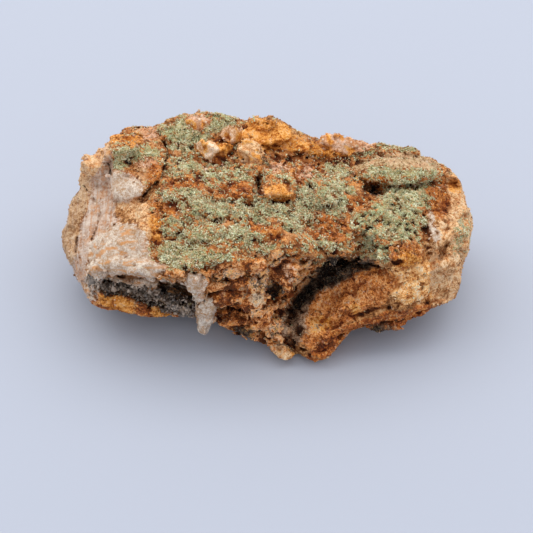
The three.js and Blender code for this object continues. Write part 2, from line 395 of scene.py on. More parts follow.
# Smooth pebbles: pixel, radii in millimetres.
PEBBLES = {
    "lens": ((396, 171), (14.0, 5.6, 2.9)),
    "lens tail": ((423, 173), (6.4, 3.8, 2.4)),
    "mound": ((266, 134), (8.4, 5.6, 1.2)),
}

# Slabs that stand on the crust: the pixels of the foot of the front and of the back, half the width,
# and the heights in front and behind, in millimetres.
SLABS = {
    "chunk": ((280, 202), (279, 172), 4.7, 4.6, 2.6),
    "hump": ((234, 203), (232, 182), 6.2, 2.6, 0.6),
    "west hump": ((184, 199), (183, 184), 6.4, 1.6, 0.4),
    "moss bank": ((216, 236), (214, 224), 9.0, 1.2, 0.2),
    "orange bank": ((262, 236), (258, 222), 6.0, 1.2, 0.2),
}

# Rods of quartz: radii at the two ends in millimetres, and the path.
RODS = {
    "column": (2.4, 1.4, "196,280 196,287 198,296"),
    "ledge lip": (3.0, 2.0, "98,269 120,265 150,271 178,277"),
    "prong": (3.6, 1.7, "206,304 206,316 203,331"),
    "slot roof": (1.0, 0.8, "140,281 172,286 190,297"),
}

# Holes: pixel, radii in millimetres, and how far along the line of sight the hole is sunk.
HOLES = {
    "black hole": ((369, 190), (2.8, 1.9, 2.6), 1.6),
    "black hole end": ((375, 188), (1.9, 1.2, 2.0), 1.4),
    "small dark": ((386, 184), (1.9, 1.0, 1.6), 0.8),
    "plateau pit": ((316, 221), (1.6, 1.6, 2.2), 1.0),
    "brown pit": ((335, 240), (1.0, 0.8, 1.6), 0.6),
    "brown pit two": ((336, 251), (1.2, 0.8, 1.6), 0.6),
    "swale pit": ((293, 158), (2.8, 1.8, 1.6), 0.5),
    "round vug": ((275, 293), (4.0, 8.0, 4.0), 0.4),
    "ledge pit": ((108, 273), (0.9, 0.8, 0.9), 0.8),
    "ledge pit two": ((121, 277), (1.2, 0.8, 1.0), 0.8),
    "ledge pit three": ((139, 280), (1.0, 0.8, 1.0), 0.8),
    "ledge pit four": ((156, 283), (1.2, 0.8, 1.0), 0.8),
    "ledge pit five": ((97, 271), (0.8, 0.8, 0.9), 0.8),
    "vug foot": ((275, 313), (2.4, 3.0, 2.0), 1.4),
    "face pit": ((214, 283), (1.6, 2.6, 1.4), 1.2),
    "face pit two": ((258, 305), (1.6, 2.6, 1.4), 1.2),
    "face pit three": ((236, 293), (1.6, 2.6, 1.2), 1.2),
    "lip hole": ((247, 266), (1.6, 1.4, 1.8), 0.6),
    "moss hole": ((186, 270), (1.4, 1.2, 2.4), 1.2),
    "keel hollow": ((298, 330), (1.6, 2.4, 2.4), 0.6),
    "crack top": ((164, 144), (1.2, 1.0, 2.0), 1.0),
    "bark pit": ((188, 193), (0.9, 0.9, 1.6), 0.7),
    "bark pit two": ((192, 149), (1.2, 0.8, 1.4), 0.6),
    "west pit": ((138, 150), (1.6, 0.8, 1.4), 0.6),
    "felt pit": ((247, 230), (2.0, 1.2, 1.6), 0.6),
    "felt pit two": ((256, 225), (1.4, 1.2, 1.6), 0.6),
    "felt pit three": ((236, 224), (1.4, 1.0, 1.4), 0.6),
    "felt pit four": ((290, 211), (1.4, 1.0, 1.6), 0.6),
    "east pit": ((364, 217), (0.9, 0.9, 1.6), 0.6),
    "east pit two": ((376, 213), (1.2, 1.0, 1.6), 0.6),
    "east pit three": ((423, 229), (1.2, 0.8, 1.6), 0.6),
    "east pit four": ((404, 216), (1.1, 0.8, 1.4), 0.6),
    "rust pit": ((398, 262), (1.8, 1.0, 1.6), 0.6),
    "rust pit two": ((420, 286), (2.0, 0.9, 1.6), 0.6),
}

# What the boulders, pebbles and rods that are not like their surroundings are made of.
PAINT_OF = {
    "cream": ("white", "pale"),
    "amber": ("white twin", "pale twin", "mound block", "mound block two", "mound", "left rust",
              "left rust twin"),
    "honey": ("tan", "keel lump"),
    "blush": ("pink knob", "pink ledge", "pink ledge twin"),
    "quartz": ("column", "prong"),
    "soot_and_shadow": ("black speck", "black speck two", "black speck three"),
}
PAINTED = {name: paint for paint, names in PAINT_OF.items() for name in names}
STAINED = {"soot_and_shadow": 0.0}  # how far amber stains cover a finish
PLAIN_STAIN = 0.8

# ---------------------------------------------------------------- finishes, as sRGB hex
PALETTE = {
    "base": ("#643c1e", "#aa7442", "#d6a672"),
    "gossan": ("#4e240a", "#ba6a30", "#f8bc80"),
    "rust": ("#62300e", "#a45a20", "#d08e4c"),
    "amber": ("#984e0c", "#d48c36", "#f0b870"),
    "crust": ("#643214", "#ac6e3a", "#d8a670"),
    "moss": ("#524624", "#928a5a", "#c2bc8a"),
    "quartz": ("#b08c68", "#c2b0a0", "#e6daca"),
    "banded": ("#a4785a", "#bea898", "#d4c6ba"),
    "tan": ("#906640", "#ba936c", "#d4b898"),
    "honey": ("#9c6a3c", "#dcae7e", "#f0d6b0"),
    "cream": ("#c08450", "#ecc49a", "#fae6d2"),
    "flame": ("#843a0a", "#d27a26", "#f2b260"),
    "dust": ("#6e4a38", "#b49080", "#e0ccbe"),
    "blush": ("#ba7e50", "#d2a480", "#e8c8b4"),
    "lens": ("#8e6438", "#b49a74", "#d8be9c"),
    # Ochre: the stone's colour, painted lighter still as painted light, standing for the light that falls on
    # the front right face.
    "ochre": ("#bc7438", "#fcc278", "#ffe8c0"),
    "lower": ("#56280c", "#a85a28", "#d08a48"),
    "ramp": ("#743c14", "#ca7a3c", "#ecb070"),
    "druse": ("#4c3a2c", "#a08872", "#d8c6b4"),
    "trench": ("#46301e", "#8a6a50", "#c4a488"),
    # Near-black for real manganese oxide, and painted shadow in the cave, the slot and the vug.
    "soot_and_shadow": ("#090605", "#261b14", "#604c3a"),
}


def linear(text):
    """An sRGB hex colour as the linear colour that a shader socket takes."""
    parts = [int(text[i:i + 2], 16) / 255 for i in (1, 3, 5)]
    return tuple(c / 12.92 if c <= 0.04045 else ((c + 0.055) / 1.055) ** 2.4 for c in parts) + (1.0,)


# ---------------------------------------------------------------- noise
SLOPES = np.array(
    [(1, 1, 0), (-1, 1, 0), (1, -1, 0), (-1, -1, 0), (1, 0, 1), (-1, 0, 1), (1, 0, -1), (-1, 0, -1),
     (0, 1, 1), (0, -1, 1), (0, 1, -1), (0, -1, -1), (1, 1, 0), (-1, 1, 0), (0, -1, 1), (0, -1, -1)],
    np.float32,
)
SHUFFLED = np.random.default_rng(20).permutation(256).astype(np.int32)
BATCH = 40_000  # points worked on at a time, few enough to stay in the processor's cache
CREW = ThreadPoolExecutor(4)


def in_batches(work, points):
    """Runs work on a batch of the points at a time and joins what it gives back."""
    points = np.asarray(points, np.float32)
    parts = [points[k:k + BATCH] for k in range(0, len(points), BATCH)] or [points]
    return np.concatenate(list(CREW.map(work, parts)))


def smooth_noise(points, size, seed=0):
    """Gradient noise from about -1 to 1, with swells about size millimetres across."""
    scale = (1 / np.asarray(size, np.float32)).astype(np.float32)

    def work(part):
        p = part * scale
        cell = np.floor(p).astype(np.int32)
        f = p - cell
        fade = f * f * f * (f * (f * 6 - 15) + 10)
        total = np.zeros(len(p), np.float32)
        ends = [(1 - fade[:, a], fade[:, a]) for a in (0, 1, 2)]
        first = [SHUFFLED[(cell[:, 0] + dx + seed) & 255] for dx in (0, 1)]
        for dx, dy in np.ndindex(2, 2):
            plane = SHUFFLED[(first[dx] + cell[:, 1] + dy) & 255]
            across = ends[0][dx] * ends[1][dy]
            for dz in (0, 1):
                g = SLOPES[SHUFFLED[(plane + cell[:, 2] + dz) & 255] & 15]
                dot = g[:, 0] * (f[:, 0] - dx) + g[:, 1] * (f[:, 1] - dy) + g[:, 2] * (f[:, 2] - dz)
                total += across * ends[2][dz] * dot
        return total * 1.4

    return in_batches(work, points)


def fractal(points, size, octaves, seed=0, gain=0.5):
    """Noise summed over octaves, each half the size of the last."""
    total = np.zeros(len(points), np.float32)
    for k in range(octaves):
        total += gain**k * smooth_noise(points, np.asarray(size, np.float32) / 2**k, seed + 17 * k)
    return total


def chunks(points, size, seed=0):
    """Broken blocks: each block's level and lean, from about -1 to 1, and how near its edge is."""
    stretch = np.asarray(size, np.float32) * np.ones(3, np.float32)

    def work(part):
        p = part / stretch
        cell = np.floor(p).astype(np.int32)
        first = np.full(len(p), 9.0, np.float32)
        second = np.full(len(p), 9.0, np.float32)
        level = np.zeros(len(p), np.float32)
        for step in np.ndindex(3, 3, 3):
            c = cell + np.array(step, np.int32) - 1
            h = [SHUFFLED[(SHUFFLED[(SHUFFLED[(c[:, 0] + s) & 255] + c[:, 1]) & 255] + c[:, 2]) & 255]
                 for s in range(seed, seed + 28, 7)]
            away = [c[:, k] + h[k] / np.float32(255) - p[:, k] for k in (0, 1, 2)]
            gap = np.sqrt(away[0]**2 + away[1]**2 + away[2]**2)
            lean = SLOPES[h[3] & 15]
            tilt = away[0] * lean[:, 0] + away[1] * lean[:, 1] + away[2] * lean[:, 2]
            level = np.where(gap < first, (h[3] / np.float32(128) - 1) + tilt, level)
            second = np.minimum(second, np.maximum(first, gap))
            first = np.minimum(first, gap)
        return np.stack([level, second - first, first], 1)

    return in_batches(work, points).T


def ease(low, high, value):
    """0 below low, 1 above high, and a smooth rise between."""
    t = np.clip((value - low) / (high - low), 0, 1)
    return t * t * (3 - 2 * t)


# ---------------------------------------------------------------- stencils
FINE = 2  # stencil cells to a pixel
WANDER_PX = ((5.0, 3.2), (1.6, 1.4))  # size in mm and reach in px of the unevenness of zone edges


def box_blur(mask, reach):
    """A mask averaged over a square, along rows and then columns."""
    for axis in (0, 1):
        pad = [(reach + 1, reach) if a == axis else (0, 0) for a in (0, 1)]
        running = np.cumsum(np.pad(mask, pad, mode="edge"), axis=axis)
        far = np.take(running, range(2 * reach + 1, running.shape[axis]), axis=axis)
        near = np.take(running, range(0, running.shape[axis] - 2 * reach - 1), axis=axis)
        mask = (far - near) / (2 * reach + 1)
    return mask


def stencil(outlines, blur_px):
    """A mask over the frame that is 1 inside any of the outlines, with soft edges."""
    side = FRAME_PX * FINE
    row, column = np.mgrid[0:side, 0:side].astype(np.float32) / FINE + 0.5 / FINE
    mask = np.zeros((side, side), np.float32)
    for outline in map(pixels, outlines):
        inside = np.zeros((side, side), bool)
        for (x0, y0), (x1, y1) in zip(outline, outline[1:] + outline[:1]):
            if y0 != y1:
                crosses = (row >= min(y0, y1)) & (row < max(y0, y1))
                inside ^= crosses & (column < x0 + (row - y0) * (x1 - x0) / (y1 - y0))
        mask = np.maximum(mask, inside)
    reach = max(1, round(blur_px * FINE))
    return box_blur(box_blur(mask, reach), reach)


def look_up(mask, column, row):
    """The stencil's value at each place, between its cells."""
    side = mask.shape[0]
    x = np.clip(column * FINE - 0.5, 0, side - 1.001)
    y = np.clip(row * FINE - 0.5, 0, side - 1.001)
    x0 = x.astype(np.int64)
    y0 = y.astype(np.int64)
    fx = (x - x0).astype(np.float32)
    fy = (y - y0).astype(np.float32)
    top = mask[y0, x0] * (1 - fx) + mask[y0, x0 + 1] * fx
    low = mask[y0 + 1, x0] * (1 - fx) + mask[y0 + 1, x0 + 1] * fx
    return top * (1 - fy) + low * fy


@cache
def zone_stencil(name):
    """The stencil of a zone, made once."""
    return stencil(ZONES[name], EDGE_BLUR_PX.get(name, PLAIN_BLUR_PX))


def zone_weights(points, normals):
    """How much of each zone there is at each point: drawn where the camera sees, and by rule behind."""
    column, row = to_pixels(points)
    for k, (size, reach) in enumerate(WANDER_PX):
        column = column + reach * smooth_noise(points, size, 301 + k)
        row = row + reach * smooth_noise(points, size, 331 + k)
    seen = ease(-0.12, 0.12, normals @ BACK.astype(np.float32))
    weights = {name: look_up(zone_stencil(name), column, row) * seen for name in ZONES}
    hidden = 1 - seen
    patches = fractal(points, 16, 2, 401)
    veins = smooth_noise(points, (9, 30, 5), 411)
    up = normals[:, 2]
    weights["tan"] += hidden * ease(-0.25, 0.15, patches)
    weights["quartz"] += hidden * 0.9 * ease(0.12, 0.42, veins) * ease(-0.5, 0.2, up)
    weights["banded"] += hidden * ease(0.2, 0.7, -normals[:, 0]) * 0.8
    weights["ochre"] += hidden * ease(0.1, 0.5, smooth_noise(points, 12, 421)) * 0.8
    weights["moss"] += hidden * ease(0.25, 0.75, up) * ease(-0.2, 0.2, patches)
    weights["crust"] += hidden * ease(0.1, 0.6, up)
    weights["lower"] += hidden * ease(0.1, 0.8, -up)
    return {name: np.clip(w, 0, 1).astype(np.float32) for name, w in weights.items()}


FLOW = math.radians(-32)  # the way that the crust's streaks run, seen from above


def along_flow(points):
    """The points turned so that the first axis runs with the streaks."""
    x = points[:, 0] * math.cos(FLOW) + points[:, 1] * math.sin(FLOW)
    y = points[:, 1] * math.cos(FLOW) - points[:, 0] * math.sin(FLOW)
    return np.stack([x, y, points[:, 2]], 1)


def green_cover(points, w):
    """How green each point is: the felt of prisms comes in patches and streaks."""
    streaks = fractal(along_flow(points), (7.0, 2.4, 2.4), 3, 601, 0.62)
    fine = smooth_noise(along_flow(points), (1.8, 0.8, 0.8), 607)
    bare = 0.65 * w["rust"] + 1.0 * w["amber"] + 1.4 * w["quartz"] + 1.4 * w["cream"] + 1.2 * w["blush"]
    bare += w["ramp"]
    bare += w["soot_and_shadow"] + 0.7 * w["trench"] + 2.4 * w["lens"] + 0.5 * w["honey"]
    lushness = 0.9 * w["moss"] + 0.5 * w["lawn"] - 0.62 + 0.8 * streaks
    lushness = lushness + 1.2 * fine * (1 - 0.4 * w["calm"]) - 0.85 * bare
    place = np.clip(w["crust"] + w["moss"] + 0.18 * w["ramp"] + 0.12 * w["ochre"], 0, 1)
    return ease(-0.3, 0.6, lushness) * place


# ---------------------------------------------------------------- distances to bodies
CELL = 0.5  # millimetres between the points of the distance field
BAND = 12  # cells that the field reaches to each side of the surface
REACH = 4.6  # millimetres to each side within which relief is worked out
MARGIN = 5.0  # millimetres of room round the rock


def read_out(rows, field, width, kind=np.float32):
    """One field of a mesh's points, edges or triangles, with a row for each."""
    values = np.zeros(len(rows) * width, kind)
    rows.foreach_get(field, values)
    return values.reshape(-1, width)


def solid_mesh():
    """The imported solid's points, in millimetres, and its triangles."""
    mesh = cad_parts[NODE].data
    mesh.calc_loop_triangles()
    points = read_out(mesh.vertices, "co", 3) / MM
    triangles = read_out(mesh.loop_triangles, "vertices", 3, np.int32)
    _, first, same = np.unique(np.round(points, 3), axis=0, return_index=True, return_inverse=True)
    return points[first], same.reshape(-1)[triangles].astype(np.uint32)


class Field:
    """Distances to a surface on a block of points: below nought inside the rock."""

    def __init__(self, points, triangles):
        low = points.min(0) - MARGIN
        high = points.max(0) + MARGIN
        self.start = np.floor(low / CELL).astype(int)
        shape = np.ceil(high / CELL).astype(int) - self.start + 1
        grid = openvdb.FloatGrid.createLevelSetFromPolygons(
            points, triangles=triangles, transform=openvdb.createLinearTransform(CELL), halfWidth=BAND
        )
        self.values = np.zeros(shape, np.float32)
        grid.copyToArray(self.values, ijk=tuple(int(i) for i in self.start))

    def places(self, index):
        """Where points of the block lie, in millimetres."""
        return ((np.stack(index, -1) + self.start) * CELL).astype(np.float32)

    def soften(self, reach, times):
        """Averages the field over small cubes, which rounds off the solid's flat faces."""
        for axis in times * (0, 1, 2):
            total = self.values.copy()
            for step in range(1, reach + 1):
                total += np.roll(self.values, step, axis) + np.roll(self.values, -step, axis)
            self.values = total / (2 * reach + 1)

    def normals(self, index):
        """Which way the surface faces near points of the block."""
        n = np.stack([np.gradient(self.values, CELL, axis=a)[index] for a in (0, 1, 2)], -1)
        return n / (np.linalg.norm(n, axis=1, keepdims=True) + 1e-6)

    def merge(self, centre, reach, shape, blend, cut):
        """Joins a body to the field within reach of a point, or cuts it out."""
        low = np.maximum(np.floor((centre - reach) / CELL).astype(int) - self.start, 0)
        high = np.minimum(np.ceil((centre + reach) / CELL).astype(int) - self.start + 1, self.values.shape)
        part = tuple(slice(a, b) for a, b in zip(low, high))
        index = np.meshgrid(*[np.arange(a, b) for a, b in zip(low, high)], indexing="ij")
        was = self.values[part]
        body = shape(self.places([i.ravel() for i in index]))
        new = -smooth_union(-was.ravel(), body, blend) if cut else smooth_union(was.ravel(), body, blend)
        self.values[part] = new.reshape(was.shape)

    def mesh(self):
        """The surface as points and triangles."""
        grid = openvdb.FloatGrid()
        grid.background = BAND * CELL
        grid.transform = openvdb.createLinearTransform(CELL)
        grid.copyFromArray(self.values, ijk=tuple(int(i) for i in self.start))
        points, tris, quads = grid.convertToPolygons(isovalue=0.0, adaptivity=0.0)
        return points, np.concatenate([tris, quads[:, [0, 1, 2]], quads[:, [0, 2, 3]]]).astype(np.int64)


def unit(vectors):
    """The vectors made one long."""
    return vectors / (np.linalg.norm(vectors, axis=1, keepdims=True) + 1e-9)


def smooth_union(a, b, k):
    """The nearer of two distances, blended over k where they are alike."""
    h = np.clip(0.5 + 0.5 * (b - a) / k, 0, 1)
    return b * (1 - h) + a * h - k * h * (1 - h)


def ellipsoid(points, centre, radii):
    """Distance to an ellipsoid."""
    away = (points - centre) / radii
    length = np.linalg.norm(away, axis=1)
    slope = np.linalg.norm(away / radii, axis=1)
    return length * (length - 1) / (slope + 1e-6)


def broken_block(points, centre, radii, seed):
    """Distance to a block that is broken flat on many sides."""
    rng = np.random.default_rng(seed)
    ways = unit(rng.normal(size=(FACETS, 3))).astype(np.float32)
    out = rng.uniform(0.66, 0.98, FACETS).astype(np.float32)
    return ((points - centre) / radii @ ways.T - out).max(1) * radii.min()


def slab(points, foot, heel, half, front, behind):
    """Distance to a slab with square sides and a top that slopes from front to back."""
    depth = np.linalg.norm(heel - foot)
    back = (heel - foot) / depth
    up = np.cross(RIGHT, back)
    up = up / np.linalg.norm(up)
    away = points - foot
    along = away @ back
    rise = away @ up
    top = front + (behind - front) * np.clip(along / depth, 0, 1)
    sides = np.maximum(np.abs(away @ np.cross(back, up)) - half, np.maximum(-along, along - depth))
    return np.maximum(sides, np.maximum(rise - top, -3 - rise)).astype(np.float32)


def tube(points, path, start, end):
    """Distance to a tube along a line of points, whose radius goes from start to end."""
    nearest = np.full(len(points), 1e3, np.float32)
    for k, (a, b) in enumerate(zip(path[:-1], path[1:])):
        along = b - a
        t = np.clip(((points - a) @ along) / (along @ along + 1e-9), 0, 1)
        radius = start + (end - start) * (k + t) / (len(path) - 1)
        away = np.linalg.norm(points - a - t[:, None] * along, axis=1)
        nearest = np.minimum(nearest, away - radius)
    return nearest


# ---------------------------------------------------------------- the places, as rough bodies
def spot_finder(points, triangles):
    """A function that finds where a pixel's line of sight first meets the rock."""
    tree = BVHTree.FromPolygons([tuple(p) for p in points.tolist()], triangles.tolist())

    def spot(pixel):
        way = ray_through(*pixel)
        place, normal, _, _ = tree.ray_cast(Vector(EYE), Vector(way))
        if place is None:
            place, normal, _, _ = tree.find_nearest(Vector(EYE + way * DISTANCE))
        return np.array(place, np.float32), np.array(normal, np.float32), way.astype(np.float32)

    return spot


def boulder(k, spot, pixel, radii):
    """A block broken flat on many sides, half sunk in the crust."""
    centre, normal, _ = spot(pixel)
    radii = np.array(radii, np.float32)
    centre = centre + (0.1 * radii[2]) * normal

    def shape(p):
        level, _, _ = chunks(p, 2.6, 500 + k)
        return broken_block(p, centre, radii, 500 + k) + 0.25 * smooth_noise(p, 1.6, 520 + k) - 0.35 * level

    yield shape, centre, radii.max() + 2


def pebble(k, spot, pixel, radii):
    """A smooth lump."""
    centre, _, _ = spot(pixel)
    radii = np.array(radii, np.float32)

    def shape(p):
        even = ellipsoid(p, centre, radii)
        return even + 0.45 * smooth_noise(p, 5.0, 530 + k) + 0.3 * smooth_noise(p, 1.6, 531)

    yield shape, centre, radii.max() + 2


def bank(k, spot, front_pixel, back_pixel, half, front, behind):
    """A slab of crust with a rough face in front."""
    foot = spot(front_pixel)[0]
    heel = spot(back_pixel)[0]

    def shape(p):
        level, _, _ = chunks(p, 3.4, 550 + k)
        rough = 0.5 * smooth_noise(p, 3.0, 552 + k) + 0.3 * smooth_noise(p, 1.4, 553 + k)
        return slab(p, foot, heel, half, front, behind) + rough - 0.45 * level

    yield shape, (foot + heel) / 2, np.linalg.norm(heel - foot) / 2 + half + front + 3


def rod(k, spot, start, end, path):
    """A rod of broken quartz."""
    path = np.array([spot(q)[0] for q in pixels(path)])

    def shape(p):
        level, _, _ = chunks(p, (2.4, 2.4, 3.6), 562 + k)
        return tube(p, path, start, end) - 0.7 * level + 0.5 * smooth_noise(p, (1.6, 1.6, 3.0), 560 + k)

    middle = path.mean(0)
    yield shape, middle, np.linalg.norm(path - middle, axis=1).max() + start + 2


def slits(k, spot, width, depth, steepness, path):
    """A cut along a path, one leg at a time, that narrows as it goes in."""
    found = [spot(q) for q in pixels(path)]
    level_way = np.array([0, 1, 0], np.float32)
    way = unit(np.array([level_way * (1 - steepness) + s[2] * steepness for s in found]))
    mouth = np.array([s[0] for s in found])
    steps = max(2, math.ceil(1.6 * depth / width) + 1)
    rough = 0.3 + 0.16 * width
    for a in range(len(mouth) - 1):
        ends = mouth[a:a + 2]

        def shape(p):
            lanes = [tube(p, ends + way[a:a + 2] * depth * share, width / 2, width / 2 * (1 - 0.4 * share))
                     for share in np.linspace(-0.1, 1, steps)]
            body = np.minimum.reduce(lanes)
            return body + rough * smooth_noise(p, 2.6, 540 + k) + 0.5 * rough * smooth_noise(p, 1.2, 541 + k)

        reach = np.linalg.norm(ends[1] - ends[0]) / 2 + depth / 2 + width + 2
        yield shape, ends.mean(0) + way[a] * depth / 2, reach


def hole(k, spot, pixel, radii, sunk):
    """A pit or vug with an uneven wall."""
    centre, _, way = spot(pixel)
    radii = np.array(radii, np.float32)
    centre = centre + sunk * way

    def shape(p):
        return ellipsoid(p, centre, radii) + 0.5 * smooth_noise(p, 1.8, 580 + k)

    yield shape, centre, radii.max() + 3


# How each kind of place is made, in order: its rows, its body, how far past the reach of its finish
# the body is worked out, how softly it blends, and whether it is cut out.
PLACES = (
    (BOULDERS, boulder, 1, 0.5, False),
    (PEBBLES, pebble, 1, 0.6, False),
    (SLABS, bank, 0, 0.7, False),
    (RODS, rod, 0, 0.8, False),
    (CUTS, slits, 0, 0.35, True),
    (HOLES, hole, 0, 0.4, True),
)


def carve_places(field, spot):
    """Joins and cuts all the places, and gives back the bodies that have a finish of their own."""
    claims = []
    for rows, make, room, blend, cut in PLACES:
        for k, (name, row) in enumerate(rows.items()):
            for shape, centre, reach in make(k, spot, *row):
                field.merge(centre, reach + room, shape, blend, cut)
                if name in PAINTED:
                    claims.append((PAINTED[name], shape, centre, reach))
    return claims


def give_finish(p, w, claims):
    """Gives boulders and rods their own finish, right up to their edges."""
    for paint, shape, centre, reach in claims:
        near = np.nonzero(np.linalg.norm(p - centre, axis=1) < reach)[0]
        inside = ease(1.0, 0.4, shape(p[near]))
        for name, values in w.items():
            if name != "calm":
                values[near] *= 1 - inside
        stained = ease(0.1, 0.4, smooth_noise(p[near], 3.2, 95)) * STAINED.get(paint, PLAIN_STAIN)
        for name, share in ((paint, 1.0), ("pure", 1.0), ("amber", stained)):
            w[name][near] = np.maximum(w[name][near], inside * share)


# ---------------------------------------------------------------- the relief of each finish
BLOCK_MM = (5.2, 4.2, 3.4)  # the blocks that the gossan is broken into
LEDGE_LEAN = 0.45  # how far the gossan's ledges drop for each millimetre to the right


def blocks(q, size):
    """Broken blocks with uneven edges."""
    return chunks(q + 0.7 * smooth_noise(q, 2.2, 67)[:, None], size, 71)


def broken(q, size, high, gape, dome):
    """Blocks that stand up to high, with gaps that gape between them and domed tops."""
    level, edge, near = blocks(q, size)
    return high * level - gape * (1 - ease(0.02, 0.24, edge)) + dome * (0.5 - near)


def knobs(q):
    """Small clumps and pits, drawn out with the flow."""
    q = along_flow(q)
    clumps = np.abs(smooth_noise(q, (3.4, 1.7, 1.7), 37)) - 0.25
    pits = ease(0.38, 0.56, smooth_noise(q, (2.4, 1.3, 1.3), 41))
    return (0.5 * smooth_noise(q, (7.0, 2.2, 2.2), 31) + 0.85 * clumps - 1.4 * pits
            + 0.22 * smooth_noise(q, 1.0, 43))


def sheets(q):
    """Upright sheets, split along their edges."""
    edge = smooth_noise(q, (1.7, 18, 8), 53)
    return (0.4 * ease(-0.2, 0.2, edge) - 0.2 + 0.16 * smooth_noise(q, (0.9, 10, 4), 55)
            + 0.4 * smooth_noise(q, (3.5, 8, 6), 57))


def flags(q):
    """Flat-lying layers, like flagstones."""
    beds = ease(-0.1, 0.1, smooth_noise(q, (14, 8, 1.7), 59))
    return 0.8 * beds - 0.4 + 0.4 * smooth_noise(q, (5, 5, 1.1), 60)


def lumps(q):
    """Soft lumps."""
    return 0.8 * smooth_noise(q, 5.2, 61) + 0.4 * smooth_noise(q, 2.4, 63)


def ledges(q):
    """Thin ledges that drop to the right."""
    lean = q[:, 2] + LEDGE_LEAN * q[:, 0]
    sheet = np.stack([q[:, 0], q[:, 1], lean], 1)
    return 1.1 * ease(-0.06, 0.06, smooth_noise(sheet, (8.0, 6.0, 1.5), 73)) - 0.5


RELIEF = {
    "banded": sheets,
    "lower": flags,
    "ochre": lambda q: 0.6 * flags(q) + 0.3 * lumps(q),
    "quartz": lambda q: 0.35 * flags(q),
    "tan": lambda q: 0.7 * lumps(q),
    "honey": lambda q: 0.6 * lumps(q) + broken(q, 2.6, 0.2, 0.3, 0.6),
    "gossan": lambda q: broken(q, BLOCK_MM, 2.4, 3.4, 0.0) + ledges(q),
    "bubbly": lambda q: broken(q, 2.3, 0.3, 0.5, 1.5),
    "druse": lambda q: broken(q, 2.2, 0.5, 0.7, 1.0),
    "trench": lambda q: broken(q, 2.6, 1.0, 1.2, 0.6),
}


def relief(p, w):
    """How far the surface stands out or in at each point, by what it is made of."""
    massive = w["quartz"] + w["cream"] + 0.9 * w["banded"] + 0.7 * w["blush"] + 0.6 * w["tan"]
    massive = np.clip(massive + 0.7 * w["honey"] + 0.5 * w["ramp"] + 0.4 * w["ochre"], 0, 1)
    out = 0.7 * fractal(p, 11, 2, 11, 0.5)
    wide, wide_edge, _ = chunks(p + 1.2 * smooth_noise(p, 5, 13)[:, None], 9.0, 15)
    loose = (1 - massive) * (1 - 0.5 * w["crust"])
    out += (0.85 - 0.6 * massive) * wide - 0.9 * (1 - ease(0.0, 0.12, wide_edge)) * loose
    small, small_edge, _ = chunks(p + 0.6 * smooth_noise(p, 2, 17)[:, None], 4.0, 19)
    out += 0.4 * small * (1 - 0.75 * massive) - 0.5 * (1 - ease(0.0, 0.12, small_edge)) * loose
    out += 0.28 * smooth_noise(p, 1.5, 23) * (1 - 0.6 * massive) * (1 - 0.6 * w["gossan"])
    out *= 1 - 0.45 * w["calm"]
    crust = w["crust"] > 0.03
    out[crust] += w["crust"][crust] * (knobs(p[crust]) * (1 - 0.6 * w["calm"][crust]))
    for zone, height in RELIEF.items():
        inside = w[zone] > 0.03
        if inside.any():
            out[inside] += w[zone][inside] * height(p[inside])
    return out


def raised(p, seen):
    """The height of the steps at each point."""
    column, row = to_pixels(p)
    column = column + 0.9 * smooth_noise(p, 2.4, 81)
    row = row + 0.9 * smooth_noise(p, 2.4, 83)
    total = np.zeros(len(p), np.float32)
    for height, blur_px, outline in STEPS.values():
        total += height * look_up(stencil([outline], blur_px), column, row) * seen
    return total


def trim(field):
    """Cuts off what stands outside the outline."""
    near = np.nonzero(np.abs(field.values) < REACH)
    p = field.places(near)
    column, row = to_pixels(p)
    column = column + smooth_noise(p, 1.8, 85)
    row = row + smooth_noise(p, 1.8, 87)
    inside = look_up(stencil([OUTLINE], TRIM_BLUR_PX), column, row)
    edge_px = 2 * TRIM_BLUR_PX + 1 / FINE
    mm_per_px = DISTANCE / FOCAL_PX
    field.values[near] = np.maximum(field.values[near], (0.5 - inside) * edge_px * mm_per_px)


# ---------------------------------------------------------------- meshes
def islands_off(points, faces):
    """Keeps the largest connected piece of a mesh."""
    label = np.arange(len(points))
    edges = np.concatenate([faces[:, [0, 1]], faces[:, [1, 2]], faces[:, [2, 0]]])
    while True:
        low = np.minimum(label[edges[:, 0]], label[edges[:, 1]])
        new = label.copy()
        np.minimum.at(new, edges[:, 0], low)
        np.minimum.at(new, edges[:, 1], low)
        new = new[new]
        if (new == label).all():
            break
        label = new
    names, counts = np.unique(label, return_counts=True)
    keep = label == names[counts.argmax()]
    renumber = np.cumsum(keep) - 1
    return points[keep], renumber[faces[keep[faces[:, 0]]]]


def add_object(name, data):
    """An object in the scene that shows a mesh, light or camera."""
    thing = bpy.data.objects.new(name, data)
    bpy.context.scene.collection.objects.link(thing)
    return thing


def add_mesh(name, points, faces, smooth=False):
    """A mesh object from points in millimetres and faces. Faces of different sizes come in a list."""
    groups = faces if isinstance(faces, list) else [faces]
    mesh = bpy.data.meshes.new(name)
    mesh.vertices.add(len(points))
    mesh.vertices.foreach_set("co", (np.asarray(points, np.float32) * MM).ravel())
    corners = np.concatenate([g.ravel() for g in groups])
    sizes = np.concatenate([np.full(len(g), g.shape[1]) for g in groups])
    mesh.loops.add(len(corners))
    mesh.loops.foreach_set("vertex_index", corners.astype(np.int32))
    mesh.polygons.add(len(sizes))
    starts = np.concatenate([[0], np.cumsum(sizes)[:-1]])
    mesh.polygons.foreach_set("loop_start", starts.astype(np.int32))
    mesh.update(calc_edges=True)
    mesh.validate()
    mesh.polygons.foreach_set("use_smooth", np.full(len(mesh.polygons), smooth))
    return add_object(name, mesh)


